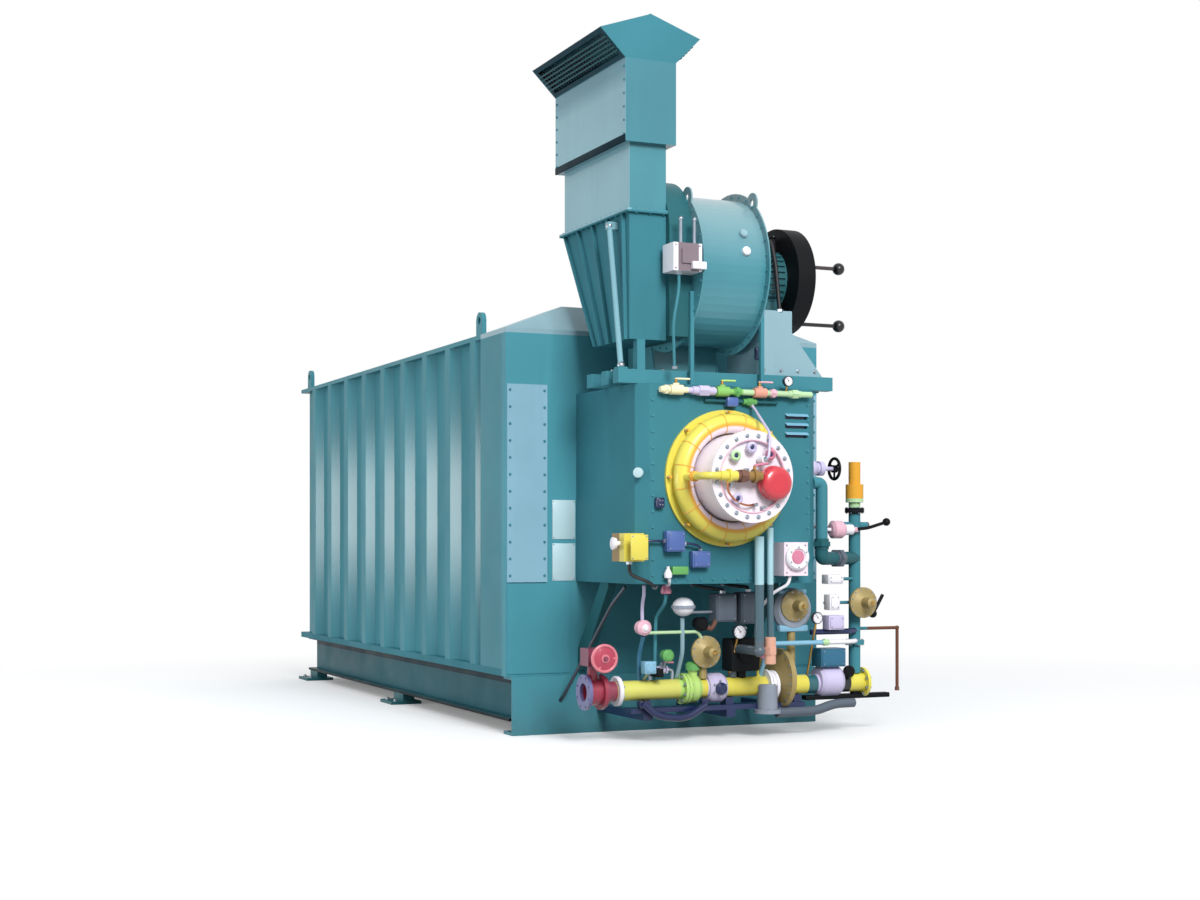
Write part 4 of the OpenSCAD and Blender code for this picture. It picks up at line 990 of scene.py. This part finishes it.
def regulator_faces(kit):
    """Bolts and plug of each regulator, and the grey drum behind the second one."""
    for x, y, z in ((-0.14, -0.999, 0.72), (0.69, -0.999, 1.08), (RISER_X, -1.044, 1.10)):
        kit["steel"].bolt_circle((x, y, z), FRONT, 0.116, 12, 0.014)
        kit["brass"].turned((x, y - 0.126, z), FRONT, [(0.02, 0), (0.02, 0.02), (0.012, 0.028)], 6)
    kit["grey"].turned((0.69, -0.985, 1.05), FRONT, [
        (0.15, -0.1), (0.178, -0.07), (0.178, -0.03), (0.15, 0)], 48)


def sensing_line(kit):
    y, z, line_z = PIPE.y, PIPE.z, PIPE.z + 0.355
    kit["sky"].tube([
        (0.41, y, z + 0.08), (0.41, -1.05, line_z), (0.46, -1.05, line_z), (0.95, -1.05, line_z)], 0.02)
    kit["white"].tube([
        (0.95, -1.05, line_z), (1.18, -1.05, line_z), (1.28, -1.0, line_z), (1.31, y - 0.03, line_z)], 0.02)
    union(kit, "pale_green", (0.95, -1.05, line_z), X_AXIS, 0.03)


def left_risers(kit):
    """Three thin lines up from the pipe's left part: to a white vessel, a pink head and a rose cap."""
    y, z = PIPE.y, PIPE.z
    kit["pale_teal"].tube([(-0.36, y, z + 0.1), (-0.36, -1.0, z + 0.3), (-0.36, -1.0, z + 0.58)], 0.018, 0.05)
    kit["white"].ball((-0.362, -1.02, 1.09), 0.09, 0.86)
    kit["grey"].turned((-0.362, -1.02, 1.09), Z_AXIS, mirrored([(0.098, 0.012)]), 40)
    kit["blue_teal"].tube([(-0.7, y, z + 0.08), (-0.7, y, 0.7), (-0.7, -0.98, 0.86)], 0.017, 0.05)
    kit["pink"].turned((-0.703, -0.98, 0.926), FRONT, [(0.058, -0.04), (0.062, 0.03), (0.04, 0.05)])
    kit["white"].turned((-0.703, -1.03, 0.926), FRONT, [(0.03, 0), (0.02, 0.012)], 24)
    kit["teal"].tube([
        (-0.56, y, z + 0.08), (-0.56, y - 0.02, 1.0), (-0.557, -1.08, 1.12), (-0.557, -1.1, 1.2)],
        0.014, 0.05)
    kit["rose"].turned((-0.557, -1.1, 1.2), Z_AXIS, [(0.04, 0), (0.045, 0.02), (0.03, 0.07), (0, 0.08)], 24)
    kit["white"].tube([
        (-0.557, -1.1, 1.27), (-0.58, -1.2, 1.27), (-0.62, -1.29, 1.3), (-0.633, -1.29, 1.42)], 0.013)
    kit["white"].turned((-0.633, -1.29, 1.33), Z_AXIS, [(0.03, 0), (0.034, 0.03), (0.016, 0.07)], 24)


def pipe_fittings(kit):
    """The white collar at the pipe's left end, two gauges, and a ball valve on its small loop."""
    y, z = PIPE.y, PIPE.z
    kit["white"].rod((-0.918, y, z), (-0.88, y, z), 0.12, 40, 0.06)
    kit["steel"].bolt_circle((-0.88, y, z), X_AXIS, 0.102, 8, 0.018)
    gauge(kit, (0.12, -1.07, 0.88), (0.12, y, z + 0.1), 0.06)
    gauge(kit, (0.86, -1.06, 0.98), (0.86, y, z + 0.06), 0.05)
    ball_valve(kit, "lilac", (-0.5, y, z + 0.16), 0.03, (0.1, -0.02, 0))
    loop = ((-0.6, 0.08), (-0.6, 0.16), (-0.4, 0.16), (-0.4, 0.08))
    kit["steel"].tube([(x, y, z + rise) for x, rise in loop], 0.014, 0.03)


def slate_switches(kit):
    """Two switch boxes under the windbox, with what joins them."""
    switch_box(kit, "slate", (-0.05, -1.0, 0.96), (0.14, -0.86, 1.19))
    switch_box(kit, "slate", (0.17, -1.02, 0.94), (0.36, -0.88, 1.2))
    kit["grey"].tube([(-0.05, -0.92, 1.04), (-0.2, -0.94, 1.04), (-0.36, -0.96, 1.04)], 0.012, 0.05)
    kit["black"].turned((-0.2, -1.01, 0.95), FRONT, [(0.05, -0.06), (0.058, 0.03), (0.04, 0.05)])
    kit["brown"].tube([(-0.15, -1.0, 0.93), (-0.1, -1.0, 0.9), (-0.04, -0.97, 0.97)], 0.02, 0.03)
    conduit(kit, [(0.27, -0.95, 1.2), (0.27, -0.95, 1.24), (0.2, -0.8, 1.25), (0.2, -0.62, 1.27)])
    conduit(kit, [(0.05, -0.92, 1.19), (0.05, -0.92, 1.22), (-0.1, -0.85, 1.24), (-0.12, -0.7, 1.27)])
    kit["pale_green"].tube([
        (-0.7, -0.99, 0.885), (-0.4, -1.0, 0.885), (-0.22, -1.0, 0.885), (-0.16, -0.98, 0.8)], 0.014, 0.03)
    kit["lilac"].tube([
        (-0.703, -0.97, 0.97), (-0.72, -1.0, 1.1), (-0.75, -1.1, 1.2), (-0.76, -1.12, 1.27)], 0.014, 0.06)


def low_switches(kit):
    """The sky switch, a black block and a green head close to the pipe, and the burner pipe's salmon nut."""
    y, z = PIPE.y, PIPE.z
    switch_box(kit, "sky", (-0.72, -1.06, 0.56), (-0.62, -0.97, 0.66))
    kit["steel"].rod((-0.67, y, z + 0.07), (-0.67, -1.01, 0.57), 0.012)
    kit["black"].box((-0.61, -1.05, 0.53), (-0.55, -0.9, 0.6), 0.008)
    kit["steel"].rod((-0.5, -0.93, 0.6), (-0.5, -1.0, 0.7), 0.012)
    kit["green"].turned((-0.5, -1.0, 0.7), FRONT, [(0.045, -0.04), (0.05, 0.03), (0.03, 0.045)])
    kit["salmon"].rod((0.25, -1.353, 0.63), (0.25, -1.353, 0.85), 0.046)
    kit["salmon"].turned((0.25, -1.353, 0.74), Z_AXIS, mirrored([(0.056, 0.03)]), 6)


def drain_line(kit):
    """The grey drip pot under the pipe, and the line from it to the right."""
    x, y = 0.43, -0.99
    kit["grey"].rod((x, y, 0.2), (x, y, 0.44), 0.085)
    kit["grey"].turned((x, y, 0.22), Z_AXIS, [(0.11, -0.02), (0.11, 0.012)], 40)
    kit["steel"].bolt_circle((x, y, 0.232), Z_AXIS, 0.098, 8, 0.014)
    kit["slate"].tube([
        (0.52, -0.98, 0.2), (0.9, -0.98, 0.2), (1.1, -0.95, 0.25), (1.3, -0.93, 0.25)], 0.04, 0.08, 16)


def centre_lines(kit):
    """The navy line to the riser, the blue switch, and the teal line and sky bars by the second regulator."""
    kit["navy"].tube([(0.84, -1.0, 0.86), (1.2, -1.0, 0.86), (1.3, -0.95, 0.86)], 0.024, 0.03)
    switch_box(kit, "blue_teal", (0.93, -1.02, 0.565), (1.17, -0.86, 0.72))
    conduit(kit, [(0.2, -0.9, PIPE.z + 0.4), (0.2, -0.94, PIPE.z + 0.46), (0.24, -0.95, PIPE.z + 0.5)])
    kit["teal"].tube([
        (0.52, -0.9, 0.8), (0.52, -0.9, 0.9), (0.52, -0.9, 1.1), (0.6, -0.9, 1.2), (0.64, -0.9, 1.27)],
        0.022, 0.06)
    kit["sky"].box((0.555, -0.98, 0.865), (0.83, -0.9, 0.92), 0.012)
    kit["sky"].box((0.56, -0.97, 1.18), (0.82, -0.9, 1.215), 0.012)


def bypass_loop(kit):
    """The navy loop under the pipe's left part, and the thin strut up to the windbox's left edge."""
    kit["navy"].tube([
        (-0.72, -1.02, 0.33), (-0.6, -1.04, 0.22), (-0.35, -1.04, 0.19), (-0.16, -1.02, 0.29)], 0.03, 0.2, 16)
    for x in (-0.72, -0.16):
        kit["navy"].rod((x, -1.02, 0.31), (x, -0.96, 0.32), 0.03)
    kit["dark_steel"].tube([
        (-0.80, -0.85, 1.25), (-0.86, -0.72, 1.1), (-1.02, -0.1, 0.32), (-1.035, -0.004, 0.25)], 0.014, 0.02)


def relief_valve(kit):
    """The pink valve between the windbox and the riser, with its lines and its lever."""
    y, z = -1.0, 1.715
    kit["pink"].turned((1.03, y, z), X_AXIS, [(0.05, 0), (0.075, 0.02), (0.075, 0.1), (0.055, 0.13)], 40)
    kit["white"].turned((1.16, y, z), X_AXIS, [(0.045, 0), (0.045, 0.08), (0.03, 0.09)])
    kit["pink"].tube([(1.2, y, z), (1.3, -0.98, z), (1.33, -0.93, z)], 0.024, 0.03)
    kit["white"].tube([(1.03, y, z), (0.96, y, z), (0.88, -1.04, 1.74), (0.77, -1.04, 1.74)], 0.016)
    union(kit, "white", (0.795, -1.04, 1.74), X_AXIS, 0.034, 0.05)
    kit["black"].tube([(1.3, y, 1.72), (1.4, y, 1.73), (1.58, y, 1.78)], 0.014, 0.03)
    kit["black"].ball((1.585, y, 1.782), 0.034, sides=20)


def riser_switches(kit):
    """Switches left of the riser, the lever and the black rail at its right, and the bolts of its flanges."""
    switch_box(kit, "white", (0.93, -1.13, 1.262), (1.08, -1.02, 1.34))
    switch_box(kit, "white", (0.945, -1.13, 1.045), (1.045, -1.03, 1.175))
    switch_box(kit, "lilac", (0.95, -1.11, 0.88), (1.1, -1.0, 1.0))
    kit["teal"].tube([
        (1.0, -1.03, 1.1), (1.0, -0.98, 1.1), (1.0, -0.95, 1.1), (1.29, -0.93, 1.1)], 0.014, 0.03)
    kit["teal"].tube([(1.02, -1.04, 1.3), (1.02, -0.95, 1.3), (1.29, -0.93, 1.3)], 0.014, 0.03)
    kit["black"].tube([
        (RISER_X, PIPE.y, 1.0), (1.5, -0.92, 1.0), (1.54, -0.92, 1.06), (1.6, -0.92, 1.16)], 0.015, 0.03)
    kit["black"].ball((1.5, -0.92, 1.0), 0.036, sides=20)
    kit["black"].box((0.83, -0.94, 0.285), (1.66, -0.86, 0.325), 0.006)
    kit["black"].box((1.3, -0.93, 0.325), (1.36, -0.87, 0.37))
    for z in (0.74, 1.86):
        kit["steel"].bolt_circle((RISER_X, PIPE.y, z + 0.04), Z_AXIS, 0.066, 6, 0.014)
        kit["steel"].bolt_circle((RISER_X, PIPE.y, z), -Z_AXIS, 0.066, 6, 0.014)


def drop_pipe(kit):
    """The teal pipe down the windbox's right side, its cross pipe to the riser, and the thin post's foot."""
    x, y, z = 0.865, -1.13, 1.475
    across = (RISER_X - x, PIPE.y - y, 0)
    kit["teal"].tube([(WINDBOX[1].x, y, 2.1), (x, y, 2.1), (x, y, z + 0.07)], 0.05, 0.08, 24)
    kit["dark_teal"].tube([(x, y, z + 0.07), (x, y, z), (RISER_X, PIPE.y, z)], 0.055, 0.06, 24)
    union(kit, "dark_teal", (x, y, z + 0.12), Z_AXIS, 0.075, 0.09)
    union(kit, "slate", (1.09, -1.02, z), across, 0.075, 0.12)
    kit["brown"].turned((1.76, PIPE.y, 0.335), Z_AXIS, [(0.02, 0), (0.02, 0.03)], 16)


# Roof fittings and handwheels

def roof_details(kit):
    """The gasket on the steam outlet, and the bolts of the flue's collar."""
    low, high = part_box("steam_outlet_nozzle")
    radius = (high.x - low.x) / 2
    bore, edge, thickness = radius * 0.55, radius * 0.72, 0.004
    kit["rubber"].turned(((low.x + high.x) / 2, (low.y + high.y) / 2, high.z), Z_AXIS, [
        (bore, 0), (edge, 0), (edge, thickness), (bore, thickness)], 48, closed=False)
    low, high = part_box("flue_collar")
    for x in (low.x + 0.03, high.x - 0.03):
        kit["steel"].bolt_row((x, low.y + 0.08, high.z), (x, high.y - 0.08, high.z), 7, Z_AXIS, 0.02)
    for y in (low.y + 0.03, high.y - 0.03):
        kit["steel"].bolt_row((low.x + 0.12, y, high.z), (high.x - 0.12, y, high.z), 6, Z_AXIS, 0.02)


def wheel_nut(kit, node, axis):
    """A handwheel's hub nut, on the face that its axis points to."""
    low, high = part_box(node)
    face = middle(node) + axis * abs(axis.dot(high - low)) / 2
    kit["steel"].turned(face, axis, [(0.017, -0.01), (0.017, 0.012), (0.013, 0.015)], 6)


def wheel_details():
    """The red wheel's dished web and the two wheels' hub nuts, on the bodies that turn."""
    kit = Kit("gas_valve_wheel", "gas_wheel")
    low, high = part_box("gas_valve_wheel")
    reach = (high.z - low.z) / 2
    kit["wine"].turned((low + high) / 2, FRONT, [
        (0, 0.01), (reach * 0.5, 0.008), (reach * 0.86, -0.004), (reach * 0.86, 0.0), (reach * 0.5, 0.013),
        (0, 0.016)], 48)
    wheel_nut(kit, "gas_valve_wheel", FRONT)
    kit.done()
    kit = Kit("side_valve_wheel", "side_wheel")
    wheel_nut(kit, "side_valve_wheel", X_AXIS)
    kit.done()


AREAS = {
    "casing": (front_covers,),
    "windbox": (windbox_cover, pilot_run, yellow_box, blue_boxes, pale_box),
    "burner": (drum_ports, ring_bands, gas_gun, drum_studs),
    "fan": (scroll_bolts, actuator_details, guard_grille, motor_details, pedestal_details),
    "duct": (duct_flanges, hood_details),
    "gas_train": (
        pipe_flanges, left_valves, right_valves, regulator_faces, sensing_line, left_risers, pipe_fittings,
        slate_switches, low_switches, drain_line, centre_lines, bypass_loop, relief_valve, riser_switches,
        drop_pipe),
    "roof": (roof_details,),
}

finish_nodes()
wheel_details()
for area, makers in AREAS.items():
    area_kit = Kit(area)
    for make in makers:
        make(area_kit)
    area_kit.done()


# Light, floor and camera

EYE = (-6.74, -13.60, 1.62)
YAW = radians(-24.16)
FLOOR_GLOW = 0.16
PURE_WHITE = (1, 1, 1, 1)


def white_rays(tree):
    """One for the rays that see the white background: camera, glossy and transmission rays."""
    rays = added(tree, "LightPath", {}).outputs
    shown = math_node(tree, "MAXIMUM", rays["Is Camera Ray"], rays["Is Glossy Ray"])
    return math_node(tree, "MAXIMUM", shown, rays["Is Transmission Ray"])


def mixed(tree, share, first, second):
    return added(tree, "MixShader", {"Fac": share, 1: first, 2: second}).outputs["Shader"]


def floor():
    """A floor that is white far away, keeps the shadow near the object and throws little light back up."""
    bpy.ops.mesh.primitive_plane_add(size=400, location=(0, 0, -0.001))
    plane = bpy.context.object
    plane.name = "floor"
    material, tree, bsdf = shader("floor_white")
    fill(tree, bsdf, {
        "Base Color": (0.8, 0.8, 0.8, 1), "Roughness": 0.9, "Specular IOR Level": 0.0,
        "Emission Color": PURE_WHITE, "Emission Strength": FLOOR_GLOW})
    dim = added(tree, "BsdfDiffuse", {"Color": (0.3, 0.3, 0.3, 1)})
    glow = added(tree, "Emission", {"Color": PURE_WHITE})
    away = added(tree, "VectorMath", {0: place(tree)}, operation="LENGTH")
    far = spread(tree, away.outputs["Value"], 6.0, 11.0)
    shown = mixed(tree, far, bsdf.outputs["BSDF"], glow.outputs["Emission"])
    surface = mixed(tree, white_rays(tree), dim.outputs["BSDF"], shown)
    fill(tree, tree.nodes["Material Output"], {"Surface": surface})
    plane.data.materials.append(material)


def studio():
    """White to the rays that show the background. It lights the object mostly from above."""
    world = bpy.data.worlds.new("studio")
    bpy.context.scene.world = world
    world.use_nodes = True
    tree = world.node_tree
    room = tree.nodes["Background"]
    direction = added(tree, "TexCoord", {}).outputs["Generated"]
    rise = added(tree, "SeparateXYZ", {"Vector": direction}).outputs["Z"]
    horizon, zenith = [0.38, 0.39, 0.4, 1], [0.82, 0.84, 0.87, 1]
    fill(tree, room, {"Color": blended(tree, spread(tree, rise, -0.1, 0.6), horizon, zenith)})
    backdrop = added(tree, "Background", {"Color": PURE_WHITE})
    surface = mixed(tree, white_rays(tree), room.outputs["Background"], backdrop.outputs["Background"])
    fill(tree, tree.nodes["World Output"], {"Surface": surface})


def hung(name, data, location):
    """A new object of the scene that holds a lamp or the camera."""
    holder = bpy.data.objects.new(name, data)
    holder.location = location
    bpy.context.scene.collection.objects.link(holder)
    return holder


def lamp(name, location, target, width, height, power):
    light = bpy.data.lights.new(name, "AREA")
    light.shape = "RECTANGLE"
    light.size = width
    light.size_y = height
    light.energy = power
    holder = hung(name, light, location)
    holder.rotation_euler = (Vector(target) - Vector(location)).to_track_quat("-Z", "Y").to_euler()
    holder.visible_camera = False


def camera():
    data = bpy.data.cameras.new("camera")
    data.lens = 52.5
    data.sensor_width = 36.0
    data.shift_y = 0.0758
    holder = hung("camera", data, EYE)
    holder.rotation_euler = (radians(90), 0, YAW)
    bpy.context.scene.camera = holder


floor()
studio()
lamp("left_window", (-9, 2.8, 2.0), (-1.5, 2.8, 2.0), 7.0, 2.0, 260)
lamp("key", (-2.0, -16, 11), (0, 1, 2), 6.0, 6.0, 2900)
camera()
bpy.context.scene.view_settings.view_transform = "Standard"
